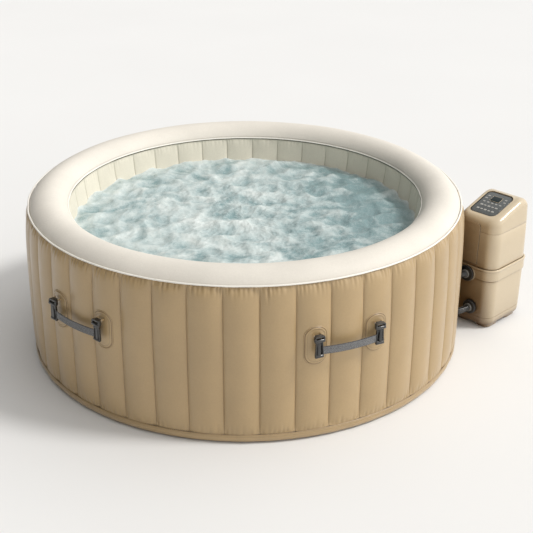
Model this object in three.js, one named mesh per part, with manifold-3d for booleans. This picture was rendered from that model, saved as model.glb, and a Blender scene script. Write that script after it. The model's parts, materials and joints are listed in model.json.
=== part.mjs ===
// An inflatable round hot tub with its pump and control unit, as separate named pieces.
// Millimetres, +Z up. The origin is on the tub's axis, at the floor; the control unit stands on the +X side.
import * as THREE from "three";
import { mergeVertices } from "three/addons/utils/BufferGeometryUtils.js";
import Module from "manifold-3d";

const wasm = await Module();
wasm.setup();

// ---------- driving dimensions ----------

const GAP = 0.4; // between pieces that touch
const TURN_CLEARANCE = 1; // round a faceted piece that turns on another
const HOLE_CLEARANCE = 1; // round a fitting that passes through a wall
const OVERSHOOT = 20; // how far a cutting block runs past what it cuts
const ROUND = 40; // facets round the tub
const FEW = 16; // facets round a small turned piece
const PI = Math.PI;

const WALL_RADIUS = 982; // widest point of the outer wall
const WALL_BOTTOM = 44;
const RIM_RADIUS = 957; // where the outer wall meets the top ring
const RIM_HEIGHT = 681;
const MOUTH_RADIUS = 784; // where the liner meets the top ring
const MOUTH_HEIGHT = 677;
const RING_EDGE = [953, 688]; // radius and height of the top ring's outer seam
const RING_CROWN = 52; // how far the top ring bulges above its two seams
const SKIN = 5;
const LINER_RADIUS = 745; // narrowest point of the liner
const FLOOR_RADIUS = 929;
const FLOOR_THICKNESS = 8;
const PIPING = { radius: 4.5, centre: [962, 688], sides: 5 };
const BASE_BAND_TOP = 42;

const WEB = { count: 16, thickness: 3, inner: 798, outer: 955, bottom: 22, top: 615 };
const WEB_TIE = { inner: 800, outer: 950, bottom: 20, thickness: 5 };
const BUBBLE_RING = { radius: 690, width: 36, height: 24, wall: 4, facets: 24 };

const HANDLE_ANGLES = { front_right: -66.4, front_left: -132.9, back_right: 66.4, back_left: 132.9 };
const HANDLE_SPREAD = 7.75; // degrees from the handle's middle to each patch
const HINGE_HEIGHT = 479;
const HINGE_STANDOFF = 7; // of the hinge axis from the wall, at the handle's middle
const PATCH = { width: 100, height: 168, corner: 44, thickness: 4, centre: 428, standoff: 1.5 };
const EAR = { thickness: 3, radius: 6, bore: 3, play: 0.7 };
const PIN = { radius: 2.2, length: 38 };
const BARREL = { radius: 5, length: 26 };
const BUCKLE = { headWidth: 46, footWidth: 34, top: 6, drop: 97, thickness: 12, offset: 7 };
const BUCKLE_CORNER = { head: 4, foot: 5 };
const BUCKLE_SHOULDER = { start: -18, end: -24 }; // heights at which the head narrows to the rails
const HEAD_SLOT = { width: 28, height: 8, drop: 11 };
const RAIL_SLOT = { width: 10, height: 44, drop: 54, shift: 6 };
const STRAP = { height: 34, thickness: 3.5, bottom: 401, bow: 12, inset: 3 };

const UNIT_CORNER = [1134, -52]; // nearest corner of the control unit, on the floor
const UNIT_TURN = THREE.MathUtils.degToRad(44);
const UNIT_LENGTH = 290;
const UNIT_WIDTH = 225;
const UNIT_ROUNDING = 55;
const UNIT_WALL = 4;
const FOOT = { height: 12, radius: 19, along: 62, across: 60, root: 6 }; // root runs into the shell
const UNDERSIDE = { rise: 34, inset: 15 }; // the rounding between the sides and the underside
const HOLLOW = { bottom: 60, footBottom: 20, footInset: 20 };
const BELT = { bottom: 250, top: 308, proud: 6 };
const COVER_SPLIT = 485;
const TOP_SLOPE = 0.3;
const TOP_AT_FRONT = 541.5; // height of the sloping top, extended to the front face
const TOP_CREST = 235; // where the slope ends and the back rounds off
const FRONT_EDGE = 22; // size of the rounding along the top's front edge
const CREST_EASE = 4; // how gently the top and front edges start to turn
const BACK_DROP = 62; // how far below the crest the back turns upright
const PANEL = { length: 162, width: 135, corner: 32, recess: 6, thickness: 3, along: 128, across: 122 };
const TRAY = { wall: 4, floor: 3 }; // the seat under the control panel
const BUTTON = { length: 15, width: 10, height: 2.7, proud: 1.3 };
const SERVICE_PANEL = { start: 95, end: 190, bottom: 318, top: 546, thickness: 5 };
const INTAKE = { start: 50, end: 150, bottom: 330, top: 470, thickness: 5 };
const SLOT = { height: 6, pitch: 14, margin: 18, first: 15, last: 12 };
const SHELL_WALL = 9; // of the upper housing and the top cover
const ABOVE_ALL = 700; // a height over the whole unit

const RETURN = { across: 133, height: 266.5, nut: 39.5, nutBack: 8.4, spigot: 26, pipe: 16, portY: 20 };
const SUCTION = { across: 103, height: 101, nut: 34.5, nutBack: 0.4, spigot: 22, pipe: 15, portY: -30 };
const BOSS = { rim: 1, proud: 8 }; // the raised ring behind the return nut
const SPIGOT_LENGTH = 14;
const COLLAR = { proud: 5, start: 6, length: 8 };
const NUT = { cap: 4, chamfer: 3, lip: 2 };
const PORT_OUTSIDE = 990; // x of the ports' outer faces
const PORT_INSIDE = 733;
const PORT = { flange: 34, tube: 20, lip: 5 };

const AIR = { along: 130, height: 180, spigot: 14, hose: 9, reach: 12, steps: 24, facets: 8 };
// The air hose's route after it leaves the unit: down beside the wall, through it, and on to the bubble ring.
const AIR_ROUTE = [
  [1010, 236, 156],
  [975, 225, 116],
  [900, 208, 92],
  [800, 185, 72],
  [740, 171, 66],
  [697, 161, 62],
  [675, 156, 52],
  [672, 155, 36.5],
];

const GLAND = { across: 112, height: 80, stem: 9, stemLength: 16, nut: 15, nutLength: 8, nutStart: 6 };
const GLAND_SLEEVE = { radius: 10.5, start: 13, length: 10, bore: 4.5 };
const VALVE = { bore: 12, stem: 18, flange: 28, lip: 5 };
const VALVE_CAP = { radius: 24, thickness: 9, plug: 11, plugLength: 14, plugEnd: -4 };
const INFLATION_VALVE = { angle: 105, height: 300, innerEnd: -22, holeDepth: 40 };
const DRAIN_VALVE = { angle: 150, height: 80, innerEnd: -233, holeDepth: 270 };

// ---------- materials ----------

const finish = (color, roughness, metalness = 0) =>
  new THREE.MeshStandardMaterial({ color, roughness, metalness });

const tanVinyl = finish(0xc9b48f, 0.55);
const creamVinyl = finish(0xe9e2d3, 0.45);
const linerVinyl = finish(0xd9d5c8, 0.5);
const whiteVinyl = finish(0xf4f1ea, 0.4);
const tanPlastic = finish(0xd8c6a5, 0.35);
const darkPlastic = finish(0x3a3b3d, 0.4);
const blackPlastic = finish(0x17181a, 0.4);
const greyWebbing = finish(0x7a7c7e, 0.85);
const panelPlastic = finish(0x4d5456, 0.25);
const displayGlass = finish(0x12262c, 0.1);
const buttonPlastic = finish(0xa8acaa, 0.4);
const steel = finish(0xb5b8ba, 0.3, 0.9);
const boardLaminate = finish(0x2f6b45, 0.5);
const paperPleats = finish(0xe6e6e2, 0.9);

// ---------- solids: join, cut, and back to a geometry ----------

function solidOf(geometry) {
  const bare = geometry.clone();
  for (const attribute of Object.keys(bare.attributes)) {
    if (attribute !== "position") bare.deleteAttribute(attribute);
  }
  const merged = mergeVertices(bare, 1e-3);
  return new wasm.Manifold(
    new wasm.Mesh({
      numProp: 3,
      vertProperties: new Float32Array(merged.attributes.position.array),
      triVerts: new Uint32Array(merged.index.array),
    }),
  );
}

function geometryOf(solid) {
  const mesh = solid.getMesh();
  const geometry = new THREE.BufferGeometry();
  geometry.setAttribute("position", new THREE.BufferAttribute(mesh.vertProperties, 3));
  geometry.setIndex(new THREE.BufferAttribute(mesh.triVerts, 1));
  return geometry;
}

function join(...geometries) {
  return geometryOf(geometries.map(solidOf).reduce((whole, piece) => whole.add(piece)));
}

function cut(geometry, ...tools) {
  return geometryOf(tools.map(solidOf).reduce((whole, tool) => whole.subtract(tool), solidOf(geometry)));
}

function common(first, second) {
  return geometryOf(solidOf(first).intersect(solidOf(second)));
}

// ---------- basic shapes ----------

// A ring or a turned piece about Z, from [radius, height] points that run anticlockwise.
function turned(points, facets = ROUND) {
  const profile = points.map(([radius, height]) => new THREE.Vector2(radius, height));
  const closed = points[0][0] > 0 || points.at(-1)[0] > 0;
  if (closed) profile.push(profile[0].clone());
  const geometry = new THREE.LatheGeometry(profile, facets);
  return geometry.rotateX(PI / 2);
}

function roundedRectangle(width, height, radius, x = 0, y = 0) {
  const shape = new THREE.Shape();
  const right = x + width / 2 - radius;
  const left = x - width / 2 + radius;
  const top = y + height / 2 - radius;
  const bottom = y - height / 2 + radius;
  shape.absarc(right, bottom, radius, -PI / 2, 0);
  shape.absarc(right, top, radius, 0, PI / 2);
  shape.absarc(left, top, radius, PI / 2, PI);
  shape.absarc(left, bottom, radius, PI, 1.5 * PI);
  return shape;
}

// An arc of the outline gets twice as many facets as its curve segments.
function extruded(shape, depth, curveSegments = 2) {
  return new THREE.ExtrudeGeometry(shape, { depth, bevelEnabled: false, curveSegments });
}

// A cylinder along +Z that starts at z = 0.
function rod(radius, length, facets = FEW) {
  const cylinder = new THREE.CylinderGeometry(radius, radius, length, facets);
  return cylinder.rotateX(PI / 2).translate(0, 0, length / 2);
}

function rectangularHole(width, height, x, y) {
  const corners = [[-1, -1], [-1, 1], [1, 1], [1, -1]];
  const path = corners.map(([i, j]) => new THREE.Vector2(x + (i * width) / 2, y + (j * height) / 2));
  return new THREE.Path(path);
}

function roundHole(radius, sides) {
  const path = [];
  for (let side = 0; side < sides; side++) {
    const angle = (-side * 2 * PI) / sides;
    path.push(new THREE.Vector2(radius * Math.cos(angle), radius * Math.sin(angle)));
  }
  return new THREE.Path(path);
}

function block(x0, x1, y0, y1, z0, z1) {
  const geometry = new THREE.BoxGeometry(x1 - x0, y1 - y0, z1 - z0);
  return geometry.translate((x0 + x1) / 2, (y0 + y1) / 2, (z0 + z1) / 2);
}

function tubeAlong(curve, radius, steps, facets = 10) {
  const section = new THREE.Shape().absarc(0, 0, radius, 0, 2 * PI);
  return new THREE.ExtrudeGeometry(section, { steps, extrudePath: curve, curveSegments: facets / 2 });
}

function place(name, geometry, material, parent, position = [0, 0, 0]) {
  const mesh = new THREE.Mesh(geometry, material);
  mesh.name = name;
  mesh.position.set(...position);
  parent.add(mesh);
  return mesh;
}

// Points on an arc from start to end that bulges to the left of the way it goes.
function arcPoints([x0, y0], [x1, y1], sagitta, steps) {
  const halfChord = Math.hypot(x1 - x0, y1 - y0) / 2;
  const radius = (halfChord ** 2 + sagitta ** 2) / (2 * sagitta);
  const normal = [-(y1 - y0) / (2 * halfChord), (x1 - x0) / (2 * halfChord)];
  const back = sagitta - radius;
  const centre = [(x0 + x1) / 2 + normal[0] * back, (y0 + y1) / 2 + normal[1] * back];
  const from = Math.atan2(y0 - centre[1], x0 - centre[0]);
  const sweep = -2 * Math.asin(halfChord / radius);
  const points = [];
  for (let step = 0; step <= steps; step++) {
    const angle = from + (sweep * step) / steps;
    points.push([centre[0] + radius * Math.cos(angle), centre[1] + radius * Math.sin(angle)]);
  }
  return points;
}

// A skin of even thickness: an outer line of [radius, height] points, and the same line moved inwards.
function skin(line, shift) {
  const inner = line.map(([radius, height]) => [radius + shift[0], height + shift[1]]);
  return [...line, ...inner.reverse()];
}

const spa = new THREE.Group();

// ---------- fittings that pass through the walls ----------

// The holes for a straight fitting along X, through both walls.
function portHole({ portY, height }) {
  const start = PORT_INSIDE - OVERSHOOT;
  const length = PORT_OUTSIDE - start + OVERSHOOT;
  return rod(PORT.tube + HOLE_CLEARANCE, length, 12).rotateY(PI / 2).translate(start, portY, height);
}

// Turns a piece made along +Z, with z = 0 on the wall's surface, to face out at an angle round the tub.
function onWall(geometry, angle, height) {
  const turn = THREE.MathUtils.degToRad(angle);
  return geometry.rotateY(PI / 2).translate(WALL_RADIUS, 0, height).rotateZ(turn);
}

function valveHole({ angle, height, holeDepth }) {
  const hole = rod(VALVE.stem + HOLE_CLEARANCE, holeDepth + OVERSHOOT).translate(0, 0, -holeDepth);
  return onWall(hole, angle, height);
}

const airCurve = new THREE.CatmullRomCurve3([
  onUnit(AIR.along, UNIT_WIDTH + AIR.reach + GAP, AIR.height),
  onUnit(AIR.along, UNIT_WIDTH + 3 * AIR.reach, AIR.height),
  ...AIR_ROUTE.map((point) => new THREE.Vector3(...point)),
]);

const wallHoles = () => [
  portHole(RETURN),
  portHole(SUCTION),
  tubeAlong(airCurve, AIR.hose + 2 * HOLE_CLEARANCE, AIR.steps, AIR.facets),
  valveHole(INFLATION_VALVE),
  valveHole(DRAIN_VALVE),
];

function addTub() {
  const outerLine = [
    [971, WALL_BOTTOM + GAP],
    [980, 130],
    [WALL_RADIUS, 300],
    [980, 540],
    [972, 634],
    [RIM_RADIUS, RIM_HEIGHT],
  ];
  place("outer_wall", cut(turned(skin(outerLine, [-SKIN, -1])), ...wallHoles()), tanVinyl, spa);

  const linerLine = [
    [MOUTH_RADIUS - 2, MOUTH_HEIGHT - 5],
    [757, 520],
    [LINER_RADIUS, 300],
    [754, 110],
    [768, FLOOR_THICKNESS + 2],
  ];
  place("inner_liner", cut(turned(skin(linerLine, [SKIN, 0])), ...wallHoles()), linerVinyl, spa);

  const [edgeRadius, edgeHeight] = RING_EDGE;
  const ringOuter = arcPoints([MOUTH_RADIUS, MOUTH_HEIGHT], RING_EDGE, RING_CROWN, 7);
  const ringInner = arcPoints(
    [MOUTH_RADIUS + SKIN, MOUTH_HEIGHT],
    [edgeRadius - SKIN, edgeHeight],
    RING_CROWN - SKIN,
    4,
  );
  place("top_ring", turned([...ringOuter.reverse(), ...ringInner]), creamVinyl, spa);

  const pipingLine = [];
  const [pipingRadius, pipingHeight] = PIPING.centre;
  for (let side = 0; side < PIPING.sides; side++) {
    const angle = (side * 2 * PI) / PIPING.sides;
    pipingLine.push([
      pipingRadius + PIPING.radius * Math.cos(angle),
      pipingHeight + PIPING.radius * Math.sin(angle),
    ]);
  }
  place("rim_piping", turned(pipingLine), whiteVinyl, spa);

  const bandLine = [
    [FLOOR_RADIUS + 1, 0],
    [962, 0],
    [984, 16],
    [980, BASE_BAND_TOP],
    [975, BASE_BAND_TOP],
    [978, 19],
    [960, SKIN],
    [FLOOR_RADIUS + 1, SKIN],
  ];
  place("base_band", turned(bandLine), tanVinyl, spa);

  const floorLine = [
    [0, 0],
    [FLOOR_RADIUS, 0],
    [FLOOR_RADIUS, FLOOR_THICKNESS],
    [0, FLOOR_THICKNESS],
  ];
  place("tub_floor", turned(floorLine), linerVinyl, spa);
}

// Radial webs between the two walls, on one ring that ties them together at the base.
function addWebs() {
  const { inner, outer, bottom, thickness } = WEB_TIE;
  const tieTop = bottom + thickness;
  const tie = turned([[inner, bottom], [outer, bottom], [outer, tieTop], [inner, tieTop]]);
  const webs = [];
  for (let index = 0; index < WEB.count; index++) {
    const web = block(WEB.inner, WEB.outer, -WEB.thickness / 2, WEB.thickness / 2, WEB.bottom, WEB.top);
    webs.push(web.rotateZ(((index + 0.5) * 2 * PI) / WEB.count));
  }
  place("wall_webs", join(tie, ...webs), whiteVinyl, spa);
}

// An inverted channel welded to the floor: the blower's air leaves it through pinholes.
function addBubbleRing() {
  const { radius, width, height, wall, facets } = BUBBLE_RING;
  const inside = radius - width / 2;
  const outside = radius + width / 2;
  const bottom = FLOOR_THICKNESS + GAP;
  const top = bottom + height;
  const line = [
    [inside, bottom],
    [inside + wall, bottom],
    [inside + wall, top - wall],
    [outside - wall, top - wall],
    [outside - wall, bottom],
    [outside, bottom],
    [outside, top],
    [inside, top],
  ];
  place("bubble_ring", turned(line, facets), linerVinyl, spa);
}

// ---------- handles ----------

// Two ears on each patch carry the buckle's pin.
function earShape(reach) {
  const shape = new THREE.Shape();
  shape.moveTo(-reach, -EAR.radius);
  shape.absarc(0, 0, EAR.radius, -PI / 2, PI / 2);
  shape.lineTo(-reach, EAR.radius);
  shape.holes.push(roundHole(EAR.bore, 8));
  return shape;
}

// In a handle's frame +X runs along the wall, +Y points out and y = 0 is the wall at the handle's middle.
function patchGeometry(side) {
  const turn = THREE.MathUtils.degToRad(HANDLE_SPREAD) * side;
  const pad = extruded(roundedRectangle(PATCH.width, PATCH.height, PATCH.corner), PATCH.thickness);
  pad.rotateX(PI / 2).translate(0, WALL_RADIUS + PATCH.standoff + PATCH.thickness, PATCH.centre);
  pad.rotateZ(-turn).translate(0, -WALL_RADIUS, 0);
  const middle = WALL_RADIUS * Math.sin(turn);
  const reach = HINGE_STANDOFF + WALL_RADIUS * (1 - Math.cos(turn)) - (PATCH.standoff + 1);
  const ears = [-1, 1].map((end) => {
    const offset = middle + end * (BARREL.length / 2 + EAR.play + EAR.thickness / 2) - EAR.thickness / 2;
    const ear = extruded(earShape(reach), EAR.thickness, 2);
    return ear.rotateX(PI / 2).rotateZ(PI / 2).translate(offset, HINGE_STANDOFF, HINGE_HEIGHT);
  });
  return join(pad, ...ears);
}

function buckleGeometry(side) {
  const { headWidth, footWidth, top, drop, thickness, offset } = BUCKLE;
  const { head: headCorner, foot: footCorner } = BUCKLE_CORNER;
  const head = headWidth / 2;
  const waist = head - headCorner;
  const foot = footWidth / 2;
  const footHeight = top - drop + footCorner;
  const shape = new THREE.Shape();
  shape.moveTo(-head + headCorner, top);
  shape.absarc(-head + headCorner, top - headCorner, headCorner, PI / 2, PI);
  shape.lineTo(-head, BUCKLE_SHOULDER.start);
  shape.lineTo(-waist, BUCKLE_SHOULDER.end);
  shape.absarc(-foot + footCorner, footHeight, footCorner, PI, 1.5 * PI);
  shape.absarc(foot - footCorner, footHeight, footCorner, 1.5 * PI, 2 * PI);
  shape.lineTo(waist, BUCKLE_SHOULDER.end);
  shape.lineTo(head, BUCKLE_SHOULDER.start);
  shape.absarc(head - headCorner, top - headCorner, headCorner, 0, PI / 2);
  shape.holes.push(rectangularHole(HEAD_SLOT.width, HEAD_SLOT.height, 0, -HEAD_SLOT.drop));
  const railShift = -side * RAIL_SLOT.shift;
  shape.holes.push(rectangularHole(RAIL_SLOT.width, RAIL_SLOT.height, railShift, -RAIL_SLOT.drop));
  const plate = extruded(shape, thickness, 1).rotateX(PI / 2).translate(0, offset + thickness, 0);
  const halfBarrel = BARREL.length / 2;
  const barrel = rod(BARREL.radius, BARREL.length, 8).rotateY(PI / 2).translate(-halfBarrel, 0, 0);
  const pin = rod(PIN.radius, PIN.length, 8).rotateY(PI / 2).translate(-PIN.length / 2, 0, 0);
  const bridge = block(-halfBarrel, halfBarrel, 0, offset + 1, -BARREL.radius, BARREL.radius);
  return join(plate, barrel, bridge, pin);
}

function strapGeometry(halfSpan) {
  const near = BUCKLE.offset + HINGE_STANDOFF + STRAP.inset;
  const steps = 10;
  const far = near + STRAP.thickness;
  const outer = arcPoints([-halfSpan, far], [halfSpan, far], STRAP.bow, steps);
  const inner = arcPoints([-halfSpan, near], [halfSpan, near], STRAP.bow, steps).reverse();
  const outline = [...outer, ...inner].map(([x, y]) => new THREE.Vector2(x, y));
  return extruded(new THREE.Shape(outline), STRAP.height);
}

function addHandle(where, angle) {
  const frame = new THREE.Group();
  const turn = THREE.MathUtils.degToRad(angle);
  frame.position.set(WALL_RADIUS * Math.cos(turn), WALL_RADIUS * Math.sin(turn), 0);
  frame.rotation.z = turn - PI / 2;
  spa.add(frame);
  const reach = WALL_RADIUS * Math.sin(THREE.MathUtils.degToRad(HANDLE_SPREAD));
  for (const [letter, side] of [["a", -1], ["b", 1]]) {
    place(`${where}_patch_${letter}`, patchGeometry(side), tanVinyl, frame);
    const hinge = [side * reach, HINGE_STANDOFF, HINGE_HEIGHT];
    place(`${where}_buckle_${letter}`, buckleGeometry(side), darkPlastic, frame, hinge);
  }
  const halfSpan = reach - BUCKLE.headWidth / 2 + BUCKLE_CORNER.head - GAP;
  place(`${where}_strap`, strapGeometry(halfSpan), greyWebbing, frame, [0, 0, STRAP.bottom]);
}

// ---------- control unit ----------

const unit = new THREE.Group();
unit.position.set(UNIT_CORNER[0], UNIT_CORNER[1], 0);
unit.rotation.z = UNIT_TURN;
spa.add(unit);

// The unit's outline, grown by an amount on every side. In the unit's frame its near corner is at x = y = 0,
// the face with the pipes is x = 0, and +X runs along the long face.
function unitOutline(grow) {
  const length = UNIT_LENGTH + 2 * grow;
  const width = UNIT_WIDTH + 2 * grow;
  return roundedRectangle(length, width, UNIT_ROUNDING + grow, UNIT_LENGTH / 2, UNIT_WIDTH / 2);
}

function unitPrism(grow, bottom, top) {
  return extruded(unitOutline(grow), top - bottom, 3).translate(0, 0, bottom);
}

// A rod that points out of the face with the pipes, from x = start to x = end.
function facing(radius, start, end, across, height, facets = FEW) {
  return rod(radius, end - start, facets).rotateY(PI / 2).translate(start, across, height);
}

// Everything of the unit between two heights.
function unitSlab(bottom, top) {
  return block(-OVERSHOOT, UNIT_LENGTH + OVERSHOOT, -OVERSHOOT, UNIT_WIDTH + OVERSHOOT, bottom, top);
}

function lowerHousing() {
  const rounded = new THREE.ExtrudeGeometry(unitOutline(0), {
    depth: BELT.top,
    curveSegments: 3,
    bevelThickness: UNDERSIDE.rise,
    bevelSize: UNDERSIDE.inset,
    bevelOffset: -UNDERSIDE.inset,
    bevelSegments: 2,
  });
  rounded.translate(0, 0, FOOT.height + UNDERSIDE.rise);
  const body = common(rounded, unitSlab(0, BELT.top));
  const belt = unitPrism(BELT.proud, BELT.bottom, BELT.top);
  const feet = [];
  for (const along of [FOOT.along, UNIT_LENGTH - FOOT.along]) {
    for (const across of [FOOT.across, UNIT_WIDTH - FOOT.across]) {
      feet.push(rod(FOOT.radius, FOOT.height + FOOT.root, 10).translate(along, across, 0));
    }
  }
  const spigots = [RETURN, SUCTION].map(({ spigot, across, height }) =>
    facing(spigot, -SPIGOT_LENGTH, 2, across, height),
  );
  const boss = facing(RETURN.nut + BOSS.rim, -BOSS.proud, 2, RETURN.across, RETURN.height);
  const airSpigot = rod(AIR.spigot, AIR.reach + 2).rotateX(-PI / 2);
  airSpigot.translate(AIR.along, UNIT_WIDTH - 2, AIR.height);
  const whole = join(body, belt, boss, ...feet, ...spigots, airSpigot);
  const hollow = unitPrism(-UNIT_WALL, HOLLOW.bottom, BELT.top + OVERSHOOT);
  const hollowFoot = unitPrism(-HOLLOW.footInset, HOLLOW.footBottom, HOLLOW.bottom + 10);
  const bores = [RETURN, SUCTION].map(({ pipe, across, height }) =>
    facing(pipe + 1, -SPIGOT_LENGTH - 1, OVERSHOOT, across, height),
  );
  const airBore = rod(AIR.hose, 2 * OVERSHOOT, 12).rotateX(-PI / 2);
  airBore.translate(AIR.along, UNIT_WIDTH - OVERSHOOT, AIR.height);
  const glandBore = rod(GLAND.stem + GAP, 2 * OVERSHOOT, 10).rotateY(PI / 2);
  glandBore.translate(UNIT_LENGTH - OVERSHOOT, GLAND.across, GLAND.height);
  return cut(whole, join(hollow, hollowFoot), ...bores, airBore, glandBore);
}

function servicePocket(grow) {
  const { start, end, bottom, top, thickness } = SERVICE_PANEL;
  return block(-5, thickness + grow, start - grow, end + grow, bottom - grow, top + grow);
}

function intakePocket(grow) {
  const { start, end, bottom, top, thickness } = INTAKE;
  const inside = UNIT_LENGTH - thickness - grow;
  return block(inside, UNIT_LENGTH + 5, start - grow, end + grow, bottom - grow, top + grow);
}

// The unit's side view above the belt: the top slopes up from the front and rounds off at the back.
function sideOutline(inset) {
  const front = inset;
  const back = UNIT_LENGTH - inset;
  const crestHeight = TOP_AT_FRONT + TOP_SLOPE * TOP_CREST - inset;
  const shape = new THREE.Shape();
  shape.moveTo(front, BELT.top - OVERSHOOT);
  shape.lineTo(back, BELT.top - OVERSHOOT);
  shape.lineTo(back, crestHeight - BACK_DROP);
  shape.quadraticCurveTo(back, crestHeight - CREST_EASE, TOP_CREST, crestHeight);
  shape.lineTo(front + FRONT_EDGE, TOP_AT_FRONT + TOP_SLOPE * FRONT_EDGE - inset);
  shape.quadraticCurveTo(front + CREST_EASE, TOP_AT_FRONT - inset, front, TOP_AT_FRONT - FRONT_EDGE - inset);
  return shape;
}

function upperForm(inset) {
  const side = extruded(sideOutline(inset), UNIT_WIDTH, 4).rotateX(PI / 2).translate(0, UNIT_WIDTH, 0);
  return common(unitPrism(-inset, BELT.top - OVERSHOOT / 2, ABOVE_ALL), side);
}

function splitForm(bottom, top) {
  const shell = cut(upperForm(0), upperForm(SHELL_WALL));
  const pocketWalls = join(servicePocket(UNIT_WALL), intakePocket(UNIT_WALL));
  const backed = join(shell, common(pocketWalls, upperForm(0)));
  return cut(common(backed, unitSlab(bottom, top)), servicePocket(GAP), intakePocket(GAP));
}

const unitTop = new THREE.Group();
unitTop.position.set(PANEL.along, PANEL.across, TOP_AT_FRONT + TOP_SLOPE * PANEL.along);
unitTop.rotation.y = -Math.atan(TOP_SLOPE);
unit.add(unitTop);

function topCover() {
  unitTop.updateMatrix();
  const recess = extruded(roundedRectangle(PANEL.length, PANEL.width, PANEL.corner), 2 * OVERSHOOT);
  recess.translate(0, 0, -PANEL.recess).applyMatrix4(unitTop.matrix);
  const trayLength = PANEL.length + 2 * TRAY.wall;
  const trayWidth = PANEL.width + 2 * TRAY.wall;
  const tray = extruded(roundedRectangle(trayLength, trayWidth, PANEL.corner + TRAY.wall), PANEL.recess);
  tray.translate(0, 0, -PANEL.recess - TRAY.floor).applyMatrix4(unitTop.matrix);
  return cut(join(splitForm(COVER_SPLIT + GAP, ABOVE_ALL), tray), recess);
}

// Places of the push buttons on the panel: distance up the slope, and across it.
const BUTTONS = {
  button_power: [-52, -40],
  button_heater: [-52, 0],
  button_filter: [-52, 40],
  button_bubbles: [-22, -40],
  button_down: [-22, 0],
  button_up: [-22, 40],
};
const DISPLAY = { along: 38, across: 0, length: 40, width: 30, corner: 3, thickness: 1.2 };

// A long round-ended outline.
function buttonOutline(grow) {
  return roundedRectangle(BUTTON.width + 2 * grow, BUTTON.length + 2 * grow, BUTTON.width / 2 + grow - 0.1);
}

function addPanel() {
  const floor = -PANEL.recess + GAP;
  const plate = extruded(
    roundedRectangle(PANEL.length - 2 * GAP, PANEL.width - 2 * GAP, PANEL.corner - GAP),
    PANEL.thickness,
  ).translate(0, 0, floor);
  const holes = Object.values(BUTTONS).map(([along, across]) =>
    extruded(buttonOutline(GAP), OVERSHOOT, 1).translate(along, across, -OVERSHOOT / 2),
  );
  place("control_panel", cut(plate, ...holes), panelPlastic, unitTop);
  const surface = floor + PANEL.thickness;
  for (const [name, [along, across]] of Object.entries(BUTTONS)) {
    const seat = surface + BUTTON.proud - BUTTON.height;
    place(name, extruded(buttonOutline(0), BUTTON.height, 1), buttonPlastic, unitTop, [along, across, seat]);
  }
  const window = roundedRectangle(DISPLAY.width, DISPLAY.length, DISPLAY.corner);
  const displayPlace = [DISPLAY.along, DISPLAY.across, surface + GAP];
  place("display", extruded(window, DISPLAY.thickness, 1), displayGlass, unitTop, displayPlace);
}

function addPanels() {
  const service = SERVICE_PANEL;
  const door = block(0, service.thickness, service.start, service.end, service.bottom, service.top);
  place("service_panel", common(door, upperForm(0)), tanPlastic, unit);
  const { start, end, bottom, top, thickness } = INTAKE;
  const slots = [];
  for (let height = bottom + SLOT.first; height < top - SLOT.last; height += SLOT.pitch) {
    const slot = block(0, thickness + OVERSHOOT, start + SLOT.margin, end - SLOT.margin, 0, SLOT.height);
    slots.push(slot.translate(UNIT_LENGTH - thickness - OVERSHOOT / 2, 0, height));
  }
  const blank = block(UNIT_LENGTH - thickness, UNIT_LENGTH, start, end, bottom, top);
  place("intake_grille", cut(common(blank, upperForm(0)), ...slots), tanPlastic, unit);
}

function addHousings() {
  place("lower_housing", lowerHousing(), tanPlastic, unit);
  place("upper_housing", splitForm(BELT.top + GAP, COVER_SPLIT), tanPlastic, unit);
  place("top_cover", topCover(), tanPlastic, unit);
  addPanels();
  addPanel();
  addGland();
}

function addGland() {
  const solid = join(
    rod(GLAND.stem, GLAND.stemLength, 10),
    rod(GLAND.nut, GLAND.nutLength, 6).translate(0, 0, GLAND.nutStart),
    rod(GLAND_SLEEVE.radius, GLAND_SLEEVE.length, 10).translate(0, 0, GLAND_SLEEVE.start),
  );
  const bore = rod(GLAND_SLEEVE.bore, 3 * OVERSHOOT, 8).translate(0, 0, -OVERSHOOT);
  const gland = cut(solid, bore).rotateY(PI / 2);
  place("cord_gland", gland, blackPlastic, unit, [UNIT_LENGTH - 5, GLAND.across, GLAND.height]);
}

// ---------- pipes between the unit and the tub ----------

function onUnit(x, y, z) {
  const cosine = Math.cos(UNIT_TURN);
  const sine = Math.sin(UNIT_TURN);
  const [cornerX, cornerY] = UNIT_CORNER;
  return new THREE.Vector3(cornerX + x * cosine - y * sine, cornerY + x * sine + y * cosine, z);
}

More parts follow.
